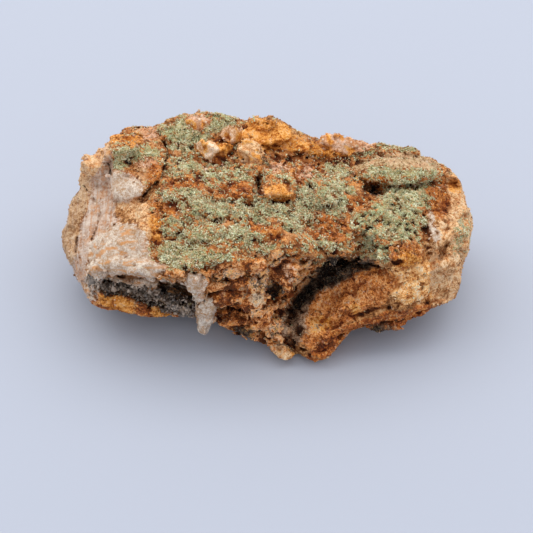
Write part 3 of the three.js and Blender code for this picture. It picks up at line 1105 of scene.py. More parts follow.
def thin_out(thing, faces):
    """Joins small faces where the surface is flattest, down to a number of triangles."""
    count = sum(len(p.vertices) - 2 for p in thing.data.polygons)
    modifier = thing.modifiers.new("thin", "DECIMATE")
    modifier.ratio = min(1.0, faces / count)
    depsgraph = bpy.context.evaluated_depsgraph_get()
    mesh = bpy.data.meshes.new_from_object(thing.evaluated_get(depsgraph))
    thing.modifiers.clear()
    old = thing.data
    thing.data = mesh
    bpy.data.meshes.remove(old)
    mesh.name = thing.name


def set_attributes(mesh, **values):
    """Gives each point of a mesh a number under each name."""
    for name, numbers in values.items():
        attribute = mesh.attributes.new(name, "FLOAT", "POINT")
        attribute.data.foreach_set("value", np.asarray(numbers, np.float32))


# ---------------------------------------------------------------- the rock's surface
# HOLLOW_ROUNDS and HOLLOW_DEPTH set the painted shade in pits: how sunk a point is, and how deep a pit is
# painted fully dark.
ROCK_FACES = 190_000
HOLLOW_ROUNDS = 12  # rounds of averaging that level the surface, to see what is sunk
HOLLOW_DEPTH = 0.9  # millimetres under that level at which a pit is fully dark


def read_points(mesh):
    """A mesh's points, in millimetres, and their normals."""
    return read_out(mesh.vertices, "co", 3) / MM, read_out(mesh.vertices, "normal", 3)


def hollows(mesh, points, normals):
    """How sunk each point is below its surroundings: 0.5 on the level, 1 in a pit, 0 on a ridge."""
    a, b = read_out(mesh.edges, "vertices", 2, np.int32).T
    ends = np.concatenate([a, b])
    others = np.concatenate([b, a])
    count = np.maximum(np.bincount(ends, minlength=len(points)), 1)
    calm = points.astype(np.float64)
    for _ in range(HOLLOW_ROUNDS):
        sums = [np.bincount(ends, weights=calm[others, k], minlength=len(points)) for k in (0, 1, 2)]
        calm = np.stack(sums, 1) / count[:, None]
    sunk = ((calm - points) * normals).sum(1)
    return np.clip(0.5 + sunk / (2 * HOLLOW_DEPTH), 0, 1)


def grow_rock(sizes):
    """The rock's surface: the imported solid, roughened by what each stretch is made of."""
    points, triangles = solid_mesh()
    field = Field(points, triangles)
    field.soften(2, 2)
    near = np.nonzero(np.abs(field.values) < REACH)
    p = field.places(near)
    n = field.normals(near)
    w = zone_weights(p, n)
    seen = ease(0.0, 0.25, n @ BACK.astype(np.float32))
    field.values[near] += sizes.sink - raised(p, seen) - relief(p, w) * sizes.roughness
    claims = carve_places(field, spot_finder(points, triangles))
    trim(field)
    height = (np.arange(field.values.shape[2]) + field.start[2]) * CELL
    field.values = np.maximum(field.values, -height[None, None, :].astype(np.float32))
    rock = add_mesh("rock", *islands_off(*field.mesh()), smooth=True)
    thin_out(rock, ROCK_FACES)
    mesh = rock.data
    p, n = read_points(mesh)
    w = zone_weights(p, n)
    fine = 0.22 * smooth_noise(p, 1.3, 91) + 0.14 * smooth_noise(p, 0.8, 93)
    fine *= (1 - 0.6 * w["quartz"]) * (1 - 0.5 * w["gossan"])
    p = p + n * fine[:, None]
    p[:, 2] = np.maximum(p[:, 2], 0)
    mesh.vertices.foreach_set("co", (p * MM).ravel())
    mesh.update()
    p, n = read_points(mesh)
    give_finish(p, w, claims)
    # The painted shade in pits is weakened where the rock is calm, and on ramp, honey and ochre.
    level = 1 - np.clip(0.7 * w["calm"] + 0.3 * w["ramp"] + 0.45 * w["honey"] + 0.4 * w["ochre"], 0, 0.8)
    set_attributes(
        mesh,
        **w,
        green=green_cover(p, w),
        hollow=0.5 + (hollows(mesh, p, n) - 0.5) * level,
        block=0.5 + (0.2 + 0.5 * w["gossan"]) * blocks(p, BLOCK_MM)[0],
    )
    return rock


# ---------------------------------------------------------------- crystals
CARRIED = tuple(ZONES) + ("green", "hollow", "block")  # what the rock's surface has a number for
FLOOR_GAP = 0.02  # millimetres that crystals and crumbs stay off the floor
FLECK = 0.4  # how far crumbs are darker or paler than what they lie on


def start_growth(sizes, step):
    """The rock's triangles, the zones on them and the random numbers for one kind of growth."""
    mesh = bpy.data.objects["rock"].data
    mesh.calc_loop_triangles()
    points, normals = read_points(mesh)
    corners = read_out(mesh.loop_triangles, "vertices", 3, np.int32)
    sides = points[corners]
    cross = np.cross(sides[:, 1] - sides[:, 0], sides[:, 2] - sides[:, 0])
    zones = {name: read_out(mesh.attributes[name].data, "value", 1) for name in CARRIED}
    zones = {name: values[corners, 0].mean(1) for name, values in zones.items()}
    faces = {
        "corners": sides,
        "area": np.linalg.norm(cross, axis=1) / 2,
        "normal": normals[corners].mean(1),
        "middle": sides.mean(1),
    }
    return faces, zones, np.random.default_rng(sizes.seed + step)


def scatter(faces, density, count, rng):
    """Random places on the rock, thicker where density is higher, the normals there and the faces."""
    chance = np.clip(density, 0, None) * faces["area"]
    picked = rng.choice(len(chance), count, p=chance / chance.sum())
    a = np.sqrt(rng.random(count))
    b = rng.random(count)
    mix = np.stack([1 - a, a * (1 - b), a * b], 1)
    places = (faces["corners"][picked] * mix[:, :, None]).sum(1)
    return places, unit(faces["normal"][picked]), picked


def leaning(normals, lean, rng):
    """Directions that lean off the normals, by 0 for upright to 1 for flat."""
    side = unit(np.cross(normals, unit(rng.normal(size=normals.shape))))
    return unit(normals * np.sqrt(1 - lean**2)[:, None] + side * lean[:, None])


def prisms(places, axes, lengths, radii, rng, sides, sunk, taper, point, rooted):
    """Closed prisms: their points and faces, how far up each point is, and how many each has.

    point is the length of a pyramid on the end, in shares of the radius. A rooted crystal widens
    from a single point, as one does that grew in a crowd.
    """
    count = len(places)
    across = unit(np.cross(axes, unit(rng.normal(size=axes.shape))))
    other = np.cross(axes, across)
    turn = np.arange(sides) * 2 * math.pi / sides
    ring = across[:, None] * np.cos(turn)[None, :, None] + other[:, None] * np.sin(turn)[None, :, None]
    squash = 1 + 0.16 * rng.normal(size=(count, sides, 1))
    ring = ring * radii[:, None, None] * squash
    foot = places - axes * sunk
    head = foot + axes * lengths[:, None]
    tilt = 0.25 * radii[:, None, None] * rng.normal(size=(count, 1, 1)) * np.cos(turn)[None, :, None]
    top = head[:, None] + ring * taper + axes[:, None] * tilt
    start = [foot[:, None]] if rooted else [foot[:, None] + ring]
    end = [(head + axes * (radii * point)[:, None])[:, None]] if point else []
    points = np.concatenate(start + [top] + end, 1)
    step = points.shape[1]
    low = len(start[0][0])  # points before the top ring
    base = np.arange(count)[:, None] * step
    corner = base + np.arange(sides)[None, :]
    after = base + (np.arange(sides)[None, :] + 1) % sides
    if rooted:
        root = np.broadcast_to(base, corner.shape)
        faces = [np.stack([root, after + low, corner + low], -1).reshape(-1, 3)]
    else:
        faces = [np.stack([corner, after, after + low, corner + low], -1).reshape(-1, 4), corner[:, ::-1]]
    if point:
        tip = np.broadcast_to(base + step - 1, corner.shape)
        faces.append(np.stack([corner + low, after + low, tip], -1).reshape(-1, 3))
    else:
        faces.append(corner + low)
    up = np.zeros((count, step), np.float32)
    up[:, low:] = 1
    return points.reshape(-1, 3), faces, up.ravel(), step


def add_crystals(name, places, axes, lengths, radii, rng, sides=6, sunk=0.25, taper=0.9, point=0.0,
                 rooted=False, **own):
    """One joined mesh of crystals, with a tone for each and how far up each corner is."""
    points, faces, up, step = prisms(places, axes, lengths, radii, rng, sides, sunk, taper, point, rooted)
    points[:, 2] = np.maximum(points[:, 2], FLOOR_GAP)
    thing = add_mesh(name, points, faces)
    own = own or {"tone": rng.random(len(places))}
    set_attributes(thing.data, tip=up, **{title: np.repeat(values, step) for title, values in own.items()})
    return thing


def grow_crust(sizes):
    """Pyromorphite prisms felted over the top, in a few joined meshes side by side."""
    faces, zones, rng = start_growth(sizes, 0)
    clumps = ease(-0.2, 0.3, smooth_noise(faces["middle"], 1.3, 611))
    density = zones["green"] * (0.45 + 0.55 * clumps) * (1 + 0.5 * zones["bubbly"]) + 0.012 * zones["crust"]
    density *= 1 - 0.75 * ease(0.56, 0.8, zones["hollow"])  # the gaps between the clumps stay dark
    count = sizes.prism_count + sizes.sliver_count
    places, normals, picked = scatter(faces, density, count, rng)
    felt = zones["felt"][picked]
    bubbly = zones["bubbly"][picked]
    size = rng.lognormal(0, 0.25, count) * (1 - 0.4 * bubbly) * (1 - 0.3 * zones["calm"][picked])
    sliver = np.arange(count) >= sizes.prism_count
    lengths = sizes.prism_length * (0.8 + 0.8 * felt) * size
    radii = sizes.prism_width / 2 * rng.lognormal(0, 0.25, count) * np.where(sliver, 0.95, 1.0)
    lean = np.clip(rng.normal(0.68 + 0.16 * felt, 0.2, count), 0.05, 0.98)
    axes = leaning(normals, lean, rng)
    grown = 0.2 * (zones["green"][picked] - 0.5)  # pale where the felt is thick, brown where it is thin
    tone = 0.5 + grown + 0.34 * fractal(places, 2.6, 2, 631) + 0.24 * rng.normal(size=count)
    tone = np.clip(tone, 0, 1)
    lush = np.clip(0.55 * bubbly + 0.9 * smooth_noise(places, 7.0, 641), 0, 1)
    order = np.argsort(places[:, 0])
    made = []
    for title, kind in (("prisms", ~sliver), ("slivers", sliver)):
        for k, part in enumerate(np.array_split(order[kind[order]], sizes.crust_pieces // 2)):
            made.append(
                add_crystals(f"pyromorphite_{title}_{k + 1}", places[part], axes[part], lengths[part],
                             radii[part], rng, sunk=0.2, rooted=title == "slivers", tone=tone[part],
                             lush=lush[part])
            )
    return made


def grow_crumbs(sizes):
    """Crumbs of the rock itself, which lie on it and are made of what they lie on."""
    faces, zones, rng = start_growth(sizes, 4)
    density = 0.3 - 0.22 * zones["gossan"] + 2.0 * zones["ramp"] + 0.9 * zones["rust"] + 0.6 * zones["crust"]
    density += 0.1 * zones["tan"] + 0.7 * zones["ochre"] + 0.6 * zones["lower"] + zones["trench"]
    density -= 0.25 * zones["quartz"] + 0.2 * zones["banded"]
    density = np.maximum(density, 0.03)
    density *= (1 - 0.75 * zones["green"]) * (1 - 0.5 * zones["calm"])
    density *= ease(-0.5, 0.4, smooth_noise(faces["middle"], 1.8, 651))
    density *= np.where(unit(faces["normal"])[:, 2] < -0.3, 0.3, 1.0)
    count = sizes.crumb_count
    places, normals, picked = scatter(faces, density, count, rng)
    size = 0.25 * rng.lognormal(0, 0.38, count) * (1 + 0.8 * zones["gossan"][picked])
    spread = rng.normal(size=(count, 3, 3))
    one = unit(spread[:, 0])
    two = unit(np.cross(one, unit(spread[:, 1])))
    three = np.cross(one, two)
    stretch = rng.uniform(0.55, 1.35, (count, 6, 1)) * size[:, None, None]
    corners = np.stack([one, -one, two, -two, three, -three], 1) * stretch
    points = ((places + normals * (0.25 * size)[:, None])[:, None] + corners).reshape(-1, 3)
    points[:, 2] = np.maximum(points[:, 2], FLOOR_GAP)
    sides = np.array([(0, 2, 4), (2, 1, 4), (1, 3, 4), (3, 0, 4),
                      (2, 0, 5), (1, 2, 5), (3, 1, 5), (0, 3, 5)])
    triangles = (np.arange(count) * 6)[:, None, None] + sides
    thing = add_mesh("limonite_crumbs", points, triangles.reshape(-1, 3))
    zones["block"] = zones["block"] + FLECK * rng.normal(size=len(zones["block"]))
    set_attributes(thing.data, **{name: np.repeat(values[picked], 6) for name, values in zones.items()})
    return thing


def grow_druse(sizes):
    """Small pointed quartz crystals that line the slot under the front lip."""
    faces, zones, rng = start_growth(sizes, 1)
    patches = ease(-0.2, 0.3, smooth_noise(faces["middle"], 3.0, 621))
    density = zones["druse"] * (0.3 + 0.7 * patches) * (1 - 0.93 * zones["soot_and_shadow"])
    count = sizes.druse_count
    places, normals, _ = scatter(faces, density, count, rng)
    axes = leaning(normals, np.clip(rng.normal(0.35, 0.2, count), 0, 0.9), rng)
    radii = rng.lognormal(math.log(0.3), 0.35, count)
    return add_crystals("quartz_druse", places, axes, radii * rng.uniform(0.9, 1.7, count), radii, rng,
                        sunk=0.3, taper=0.95, point=1.3)


def grow_grains(sizes):
    """Sugary quartz grains, frozen in the pale patches."""
    faces, zones, rng = start_growth(sizes, 2)
    density = 0.6 * zones["blush"] + 0.2 * zones["tan"] + 0.2 * zones["quartz"] + 0.02
    density *= 1 - np.clip(zones["soot_and_shadow"] + zones["trench"] + 0.7 * zones["gossan"], 0, 1)
    count = sizes.grain_count
    places, normals, _ = scatter(faces, density, count, rng)
    axes = leaning(normals, rng.uniform(0, 0.9, count), rng)
    radii = rng.lognormal(math.log(0.32), 0.3, count)
    return add_crystals("quartz_grains", places, axes, radii * rng.uniform(1.2, 1.9, count), radii, rng,
                        sides=5, sunk=0.35, taper=0.75)


def grow_needles(sizes):
    """Black needles of manganese oxide in the cleft."""
    faces, zones, rng = start_growth(sizes, 3)
    density = (zones["soot_and_shadow"] + 0.5 * zones["trench"]) * (1 - zones["druse"]) * (1 - zones["calm"])
    count = sizes.needle_count
    places, normals, _ = scatter(faces, density, count, rng)
    axes = leaning(normals, np.clip(rng.normal(0.6, 0.25, count), 0, 0.97), rng)
    lengths = rng.lognormal(math.log(0.5), 0.35, count)
    return add_crystals("manganese_needles", places, axes, lengths, rng.lognormal(math.log(0.1), 0.3, count),
                        rng, sides=4, sunk=0.2, taper=0.5)


# ---------------------------------------------------------------- materials
RAMP_STOPS = (0.37, 0.5, 0.62)
PAINT_ORDER = ("lower", "ochre", "tan", "banded", "gossan", "ramp", "crust", "honey", "rust", "blush",
               "cream", "amber", "lens", "druse", "quartz", "trench", "soot_and_shadow")
EARTHY = ("gossan", "rust", "amber", "ramp", "ochre", "lower", "honey")
# Patterns in the rock: size in mm, detail, roughness, and how they are drawn out along x, y and z.
ROCK_PATTERNS = {
    "grit": (0.38, 2.0, 0.6, (1, 1, 1)),  # the finest grains that show
    "grain": (0.9, 4.0, 0.65, (1, 1, 1)),  # sand-sized mineral grains
    "mottle": (3.6, 5.0, 0.6, (1, 1, 1)),  # stains and soft patches
    "dust": (1.5, 3.0, 0.6, (1, 1, 1)),
    "flame": (2.1, 3.0, 0.6, (1, 1, 1)),
    "streak": (1.5, 3.0, 0.5, (7, 1.3, 1.0)),  # iron stains that ran over the quartz
    "lamina": (1.1, 3.0, 0.6, (1.0, 12, 6)),  # thin upright layers
}
CRYSTAL_PATTERNS = {"stain": (2.4, 3.0, 0.6, (1, 1, 1))}
LUSH_PATTERNS = {"rust": (0.9, 3.0, 0.6, (1, 1, 1))}  # iron stains among the green crystals
PAPER_TOOTH_MM = 0.8  # coarser than real paper's, so that it shows


def add_node(tree, kind, links=None, give=0, stops=(), **settings):
    """Adds a node, sets its fields, sockets and colour stops, links others in and gives back an output."""
    node = tree.nodes.new("ShaderNode" + kind)
    for name, value in settings.items():
        setattr(node, name, value)
    for socket, source in (links or {}).items():
        if isinstance(source, bpy.types.NodeSocket):
            tree.links.new(source, node.inputs[socket])
        else:
            node.inputs[socket].default_value = source
    if stops:
        elements = node.color_ramp.elements
        while len(elements) < len(stops):
            elements.new(0.5)
        for element, (place, text) in zip(elements, stops):
            element.position = place
            element.color = linear(text)
    return node.outputs[give]


def new_material(name, look, **values):
    """A material whose look gives sockets for its shader. The values are the same all over."""
    material = bpy.data.materials.new(name)
    material.use_nodes = True
    tree = material.node_tree
    inputs = tree.nodes["Principled BSDF"].inputs
    for socket, source in look(partial(add_node, tree)).items():
        tree.links.new(source, inputs[socket])
    for socket, value in values.items():
        inputs[socket.replace("_", " ")].default_value = value
    return material


def real_patterns(node, table):
    """Noise patterns of a real size."""
    where = node("TexCoord", give="Object")
    made = {}
    for name, (size_mm, detail, roughness, stretch) in table.items():
        scale = [1 / (size_mm * MM * k) for k in stretch]
        mapped = node("Mapping", {"Vector": where, "Scale": scale})
        made[name] = node("TexNoise", {"Vector": mapped, "Scale": 1.0, "Detail": detail,
                                       "Roughness": roughness}, give="Fac")
    return made


def rock_look(node):
    """Limonite-stained vein quartz, broken and weathered: dull, earthy and full of fine grain.

    The eye sees rusty brown that never repeats, dark pores with painted shade in them, and quartz that
    shines a little.
    """
    pattern = real_patterns(node, ROCK_PATTERNS)
    zone = {name: node("Attribute", attribute_name=name, give="Fac")
            for name in PAINT_ORDER + ("pure", "green", "hollow", "block")}
    tone = -0.34  # so that patterns at 0.5 give a tone of 0.5
    for source, share in ((pattern["grain"], 0.55), (pattern["mottle"], 0.45), (pattern["grit"], 0.48),
                          (zone["block"], 0.2)):
        tone = node("Math", {0: source, 1: share, 2: tone}, operation="MULTIPLY_ADD")
    paint = {name: node("ValToRGB", {"Fac": tone}, stops=tuple(zip(RAMP_STOPS, colours)))
             for name, colours in PALETTE.items()}

    def over(colour, share, new, low, high, most=1.0, where=1.0):
        """The new colour where share is past low to high, in a place."""
        share = node("MapRange", {"Value": share, "From Min": low, "From Max": high, "To Max": most},
                     interpolation_type="SMOOTHSTEP")
        share = node("Math", {0: share, 1: where}, operation="MULTIPLY")
        return node("Mix", {0: share, 6: colour, 7: new}, give=2, data_type="RGBA")

    def total(first, others, scale=1.0):
        """Zones added up, to no more than one."""
        for other in others:
            first = node("Math", {0: zone[other], 1: scale, 2: first}, operation="MULTIPLY_ADD",
                         use_clamp=True)
        return first

    colour = paint["base"]
    for name in PAINT_ORDER:  # each zone's edge frays with the tone
        share = node("Math", {0: tone, 1: 2.2, 2: zone[name]}, operation="MULTIPLY_ADD")
        colour = over(colour, share, paint[name], 1.4, 1.72)
    earthy = total(total(zone["crust"], EARTHY), ("lens",), -1.0)
    quartz = total(zone["quartz"], ("banded",), 0.5)
    impure = node("Math", {0: 1.0, 1: zone["pure"]}, operation="SUBTRACT")
    stained = node("Math", {0: quartz, 1: impure}, operation="MULTIPLY")
    bands = total(zone["banded"], ("tan",), 0.3)
    for name, new, low, high, most, where in (
        ("dust", paint["dust"], 0.56, 0.68, 0.35, earthy),
        ("flame", paint["flame"], 0.5, 0.62, 0.5, earthy),
        ("streak", linear("#cc8c4c"), 0.49, 0.64, 0.75, stained),
        ("lamina", linear("#c48a5c"), 0.54, 0.62, 0.5, bands),
        ("lamina", linear("#e6d8cc"), 0.46, 0.38, 0.4, bands),
        ("mottle", linear("#ac622a"), 0.5, 0.66, 0.5, zone["crust"]),
    ):
        colour = over(colour, pattern[name], new, low, high, most, where)
    felt = node("Math", {0: pattern["grain"], 1: 2.6, 2: zone["green"]}, operation="MULTIPLY_ADD")
    colour = over(colour, felt, paint["moss"], 1.6, 1.9)
    # Painted shade: the colour is darkened where the surface is sunk below its surroundings, in pits, gaps
    # and crevices, and kept as it is on the level and on ridges.
    painted_pit_shade = node("ValToRGB", {"Fac": zone["hollow"]},
                 stops=((0.3, "#ffffff"), (0.54, "#f2eeea"), (0.72, "#b08a66"), (0.95, "#54361c")))
    height = node("Math", {0: pattern["grit"], 1: 0.5, 2: pattern["grain"]}, operation="MULTIPLY_ADD")
    return {
        "Base Color": node("Mix", {0: 1.0, 6: colour, 7: painted_pit_shade}, give=2, data_type="RGBA",
                           blend_type="MULTIPLY"),
        "Roughness": node("MapRange", {"Value": pattern["grain"], "To Min": 0.62, "To Max": 0.98}),
        "Normal": node("Bump", {"Height": height, "Strength": 0.6, "Distance": 0.5 * MM}),
    }


def crystal_look(node, stops, roughness, tip_highlight_colour, tip_highlight_share, lush_colour=None):
    """A crystal finish: each crystal has its own tone, and its end is painted lighter, a painted highlight
    where it would catch more light.
    """
    pattern = real_patterns(node, CRYSTAL_PATTERNS)
    tone = node("Attribute", attribute_name="tone", give="Fac")
    tone = node("Math", {0: tone, 1: 0.75}, operation="MULTIPLY")
    tone = node("Math", {0: pattern["stain"], 1: 0.25, 2: tone}, operation="MULTIPLY_ADD")
    colour = node("ValToRGB", {"Fac": tone}, stops=stops)

    def over(share, most, new):
        """The colour with a share of a new one."""
        share = node("Math", {0: share, 1: most}, operation="MULTIPLY")
        return node("Mix", {0: share, 6: colour, 7: linear(new)}, give=2, data_type="RGBA")

    if lush_colour:
        colour = over(node("Attribute", attribute_name="lush", give="Fac"), 0.5, lush_colour)
        rust = real_patterns(node, LUSH_PATTERNS)["rust"]
        rust = node("MapRange", {"Value": rust, "From Min": 0.48, "From Max": 0.6},
                    interpolation_type="SMOOTHSTEP")
        colour = over(rust, 0.8, "#c08044")
    rough = node("MapRange", {"Value": pattern["stain"], "To Min": roughness - 0.1,
                              "To Max": roughness + 0.15})
    tip = node("Attribute", attribute_name="tip", give="Fac")
    return {"Base Color": over(tip, tip_highlight_share, tip_highlight_colour), "Roughness": rough}


def paper_look(node):
    """Matt coated paper: even, with the faintest tooth."""
    where = node("TexCoord", give="Object")
    tooth = node("TexNoise", {"Vector": where, "Scale": 1 / (PAPER_TOOTH_MM * MM)}, give="Fac")
    return {"Normal": node("Bump", {"Height": tooth, "Strength": 0.05, "Distance": 0.05 * MM})}


# ---------------------------------------------------------------- settings
class SpecimenSizes(bpy.types.PropertyGroup):
    """Sizes of the rock's surface and of its crystals, in millimetres."""

    roughness: bpy.props.FloatProperty(
        name="Roughness", description="Strength of the broken surface's relief", default=1.0, min=0, max=2)
    sink: bpy.props.FloatProperty(
        name="Sink", description="How far the bare surface lies under the solid, in mm",
        default=0.0, min=0, max=2)
    prism_length: bpy.props.FloatProperty(
        name="Prism length", description="Usual length of a green prism, in mm", default=0.6, min=0.3, max=3)
    prism_width: bpy.props.FloatProperty(
        name="Prism width", description="Usual width of a green prism, in mm", default=0.36, min=0.1, max=1)
    prism_count: bpy.props.IntProperty(
        name="Prisms", description="Number of green prisms", default=12000, min=100, max=19000)
    sliver_count: bpy.props.IntProperty(
        name="Slivers", description="Number of green crystals that widen from a point",
        default=24000, min=100, max=38000)
    crust_pieces: bpy.props.IntProperty(
        name="Crust pieces", description="Joined meshes that the prisms are shared between",
        default=4, min=1, max=8)
    druse_count: bpy.props.IntProperty(
        name="Druse crystals", description="Number of quartz points in the slot",
        default=2600, min=10, max=9000)
    grain_count: bpy.props.IntProperty(
        name="Quartz grains", description="Number of sugary quartz grains", default=1600, min=10, max=9000)
    crumb_count: bpy.props.IntProperty(
        name="Crumbs", description="Number of loose-looking crumbs of the rock",
        default=18000, min=10, max=24000)
    needle_count: bpy.props.IntProperty(
        name="Needles", description="Number of black needles", default=2200, min=10, max=9000)
    seed: bpy.props.IntProperty(
        name="Seed", description="Which random specimen is grown", default=7)


class StageSettings(bpy.types.PropertyGroup):
    """The floor and the light."""

    floor_side: bpy.props.FloatProperty(
        name="Floor side", description="Side of the square floor", default=6.0, min=1, unit="LENGTH")
    floor_colour: bpy.props.FloatVectorProperty(
        name="Floor colour", description="Paper that the rock stands on", subtype="COLOR", size=4,
        min=0, max=1, default=linear("#abb2c1"))
    air_colour: bpy.props.FloatVectorProperty(
        name="Air colour", description="Light from all round", subtype="COLOR", size=4,
        min=0, max=1, default=linear("#ebebee"))
    air_strength: bpy.props.FloatProperty(
        name="Air strength", description="Strength of the light from all round", default=1.08, min=0)
    lamp_power: bpy.props.FloatProperty(
        name="Lamp power", description="Power of the soft box overhead", default=14.8, min=0, unit="POWER")
    lamp_width: bpy.props.FloatProperty(
        name="Lamp width", description="Width of the soft box overhead", default=3.0, min=0.05,
        unit="LENGTH")
    lamp_depth: bpy.props.FloatProperty(
        name="Lamp depth", description="Depth of the soft box overhead", default=0.9, min=0.05,
        unit="LENGTH")


# ---------------------------------------------------------------- stage
LAMP_PLACE = (0.0, 0.3, 1.0)
LAMP_AIM = (0, 0, 0.02)
LAMP_COLOUR = (1.0, 0.97, 0.92)
NEAREST_SEEN = 0.01  # metres from the camera


def lay_floor(stage):
    """A square sheet of paper under the rock."""
    half = stage.floor_side / 2 / MM
    corners = np.array([(-half, -half, 0), (half, -half, 0), (half, half, 0), (-half, half, 0)])
    floor = add_mesh("floor", corners, np.array([[0, 1, 2, 3]]))
    # Matt coated paper: even, with the faintest tooth.
    paper = new_material("matt_coated_paper", paper_look, Base_Color=tuple(stage.floor_colour),
                         Roughness=0.85)
    floor.data.materials.append(paper)


def set_light(scene, stage):
    """Even light from all round, and a soft box overhead."""
    world = bpy.data.worlds.new("studio_air")
    world.use_nodes = True
    air = world.node_tree.nodes["Background"].inputs
    air["Color"].default_value = tuple(stage.air_colour)
    air["Strength"].default_value = stage.air_strength
    scene.world = world
    light = bpy.data.lights.new("soft_box", "AREA")
    light.shape = "RECTANGLE"
    light.energy = stage.lamp_power
    light.size = stage.lamp_width
    light.size_y = stage.lamp_depth
    light.color = LAMP_COLOUR
    lamp = add_object("soft_box", light)
    lamp.location = LAMP_PLACE
    lamp.rotation_euler = (Vector(LAMP_AIM) - Vector(LAMP_PLACE)).to_track_quat("-Z", "Y").to_euler()


def place_camera(scene):
    """The camera whose view the outlines are drawn on."""
    camera = bpy.data.cameras.new("camera")
    camera.lens = LENS_MM
    camera.sensor_width = SENSOR_MM
    camera.clip_start = NEAREST_SEEN
    camera.shift_x = (FRAME_PX / 2 - AXIS_PX[0]) / FRAME_PX
    camera.shift_y = (AXIS_PX[1] - FRAME_PX / 2) / FRAME_PX
    eye = add_object("camera", camera)
    eye.location = EYE * MM
    eye.rotation_euler = (math.pi / 2 - ELEVATION, 0, 0)
    scene.camera = eye


# ---------------------------------------------------------------- operators
def finish_piece(piece, material):
    """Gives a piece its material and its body."""
    piece.data.materials.clear()
    piece.data.materials.append(material)
    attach(piece, BODY)


class SPECIMEN_OT_rock(bpy.types.Operator):
    """Grow the broken surface of the rock"""

    bl_idname = "specimen.rock"
    bl_label = "Rock"

    def execute(self, context):
        rock = grow_rock(context.scene.specimen_sizes)
        # Vein quartz stained by limonite and weathered: dull and earthy, and only the bare quartz shines.
        # Its pits carry painted shade.
        paint = new_material("limonite_stained_vein_quartz", rock_look, IOR=1.5, Specular_IOR_Level=0.25)
        finish_piece(rock, paint)
        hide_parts(NODE)
        return {"FINISHED"}


class SPECIMEN_OT_crumbs(bpy.types.Operator):
    """Grow the crumbs that lie on the rock"""

    bl_idname = "specimen.crumbs"
    bl_label = "Limonite crumbs"

    def execute(self, context):
        crumbs = grow_crumbs(context.scene.specimen_sizes)
        finish_piece(crumbs, bpy.data.materials["limonite_stained_vein_quartz"])
        return {"FINISHED"}


class SPECIMEN_OT_crust(bpy.types.Operator):
    """Grow the green crust of prisms on the top"""

    bl_idname = "specimen.crust"
    bl_label = "Pyromorphite crust"

    def execute(self, context):
        # Pyromorphite grown in the open: small hexagonal prisms with a greasy shine, olive to pale sage,
        # with a painted highlight on their ends.
        look = partial(
            crystal_look, roughness=0.45, tip_highlight_colour="#d8dab6", tip_highlight_share=0.25, lush_colour="#7ca062",
            stops=((0.08, "#5c4a22"), (0.26, "#8c8656"), (0.46, "#b6b88c"), (0.7, "#d6dab6"),
                   (0.95, "#f0f2da")),
        )
        paint = new_material("pyromorphite_prisms", look, IOR=1.75)
        for piece in grow_crust(context.scene.specimen_sizes):
            finish_piece(piece, paint)
        return {"FINISHED"}


class SPECIMEN_OT_druse(bpy.types.Operator):
    """Grow the quartz druse in the slot and the sugary grains"""

    bl_idname = "specimen.druse"
    bl_label = "Quartz druse"

    def execute(self, context):
        # Quartz grown in a cavity: glassy, painted dark grey as painted shade for the shadowed cavity seen
        # through it, with a painted highlight on its points.
        look = partial(crystal_look, roughness=0.3, tip_highlight_colour="#cfc4ba", tip_highlight_share=0.2,
                       stops=((0.2, "#2a2018"), (0.5, "#6c5848"), (0.85, "#c0ae9c")))
        paint = new_material("quartz_druse_points", look, IOR=1.54)
        finish_piece(grow_druse(context.scene.specimen_sizes), paint)
        # Quartz sugar: broken grains with a thin rusty stain, and a painted highlight on their ends.
        look = partial(crystal_look, roughness=0.45, tip_highlight_colour="#e4d2c0", tip_highlight_share=0.3,
                       stops=((0.2, "#a06c46"), (0.5, "#c49c78"), (0.8, "#dcc6ae")))
        sugar = new_material("stained_quartz_sugar", look, IOR=1.54)
        finish_piece(grow_grains(context.scene.specimen_sizes), sugar)
        return {"FINISHED"}


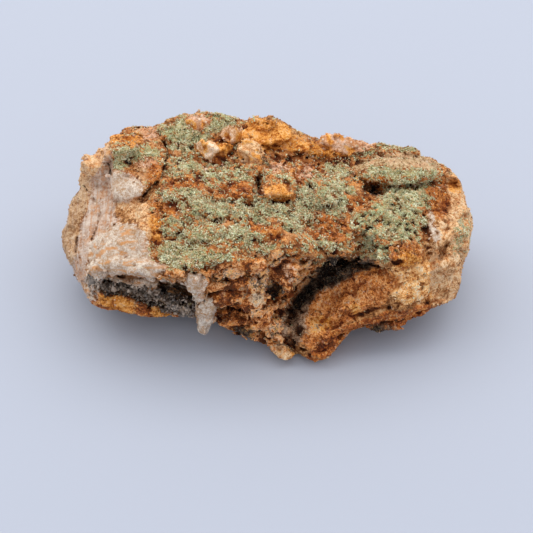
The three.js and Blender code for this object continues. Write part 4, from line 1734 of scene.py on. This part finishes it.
class SPECIMEN_OT_needles(bpy.types.Operator):
    """Grow the black needles in the cleft"""

    bl_idname = "specimen.needles"
    bl_label = "Manganese needles"

    def execute(self, context):
        # Manganese oxide grown as sooty black needles, dull with a slight steel shine, and a painted
        # highlight on their ends.
        look = partial(crystal_look, roughness=0.5, tip_highlight_colour="#8a7a66", tip_highlight_share=0.3,
                       stops=((0.2, "#12100d"), (0.55, "#3a3026"), (0.9, "#8a765c")))
        paint = new_material("manganese_oxide_needles", look, IOR=1.6)
        finish_piece(grow_needles(context.scene.specimen_sizes), paint)
        return {"FINISHED"}


class SPECIMEN_OT_stage(bpy.types.Operator):
    """Set up the floor, the light and the camera"""

    bl_idname = "specimen.stage"
    bl_label = "Stage"

    def execute(self, context):
        scene = context.scene
        lay_floor(scene.specimen_stage)
        set_light(scene, scene.specimen_stage)
        place_camera(scene)
        scene.view_settings.view_transform = "Standard"
        return {"FINISHED"}


class SPECIMEN_PT_panel(bpy.types.Panel):
    """Lists the steps that build the specimen"""

    bl_label = "Pyromorphite specimen"
    bl_space_type = "VIEW_3D"
    bl_region_type = "UI"
    bl_category = "Specimen"

    def draw(self, context):
        for group in (context.scene.specimen_sizes, context.scene.specimen_stage):
            for name in group.__annotations__:
                self.layout.prop(group, name)
        for step in STEPS_OF_BUILD:
            self.layout.operator(step.bl_idname)


STEPS_OF_BUILD = (
    SPECIMEN_OT_stage,
    SPECIMEN_OT_rock,
    SPECIMEN_OT_crumbs,
    SPECIMEN_OT_crust,
    SPECIMEN_OT_druse,
    SPECIMEN_OT_needles,
)
CLASSES = (SpecimenSizes, StageSettings) + STEPS_OF_BUILD + (SPECIMEN_PT_panel,)


def register():
    for cls in CLASSES:
        bpy.utils.register_class(cls)
    bpy.types.Scene.specimen_sizes = bpy.props.PointerProperty(type=SpecimenSizes)
    bpy.types.Scene.specimen_stage = bpy.props.PointerProperty(type=StageSettings)


def unregister():
    del bpy.types.Scene.specimen_stage
    del bpy.types.Scene.specimen_sizes
    for cls in reversed(CLASSES):
        bpy.utils.unregister_class(cls)


def main():
    """Builds the specimen step by step."""
    register()
    for step in STEPS_OF_BUILD:
        group, name = step.bl_idname.split(".")
        getattr(getattr(bpy.ops, group), name)()


if __name__ == "__main__":
    main()
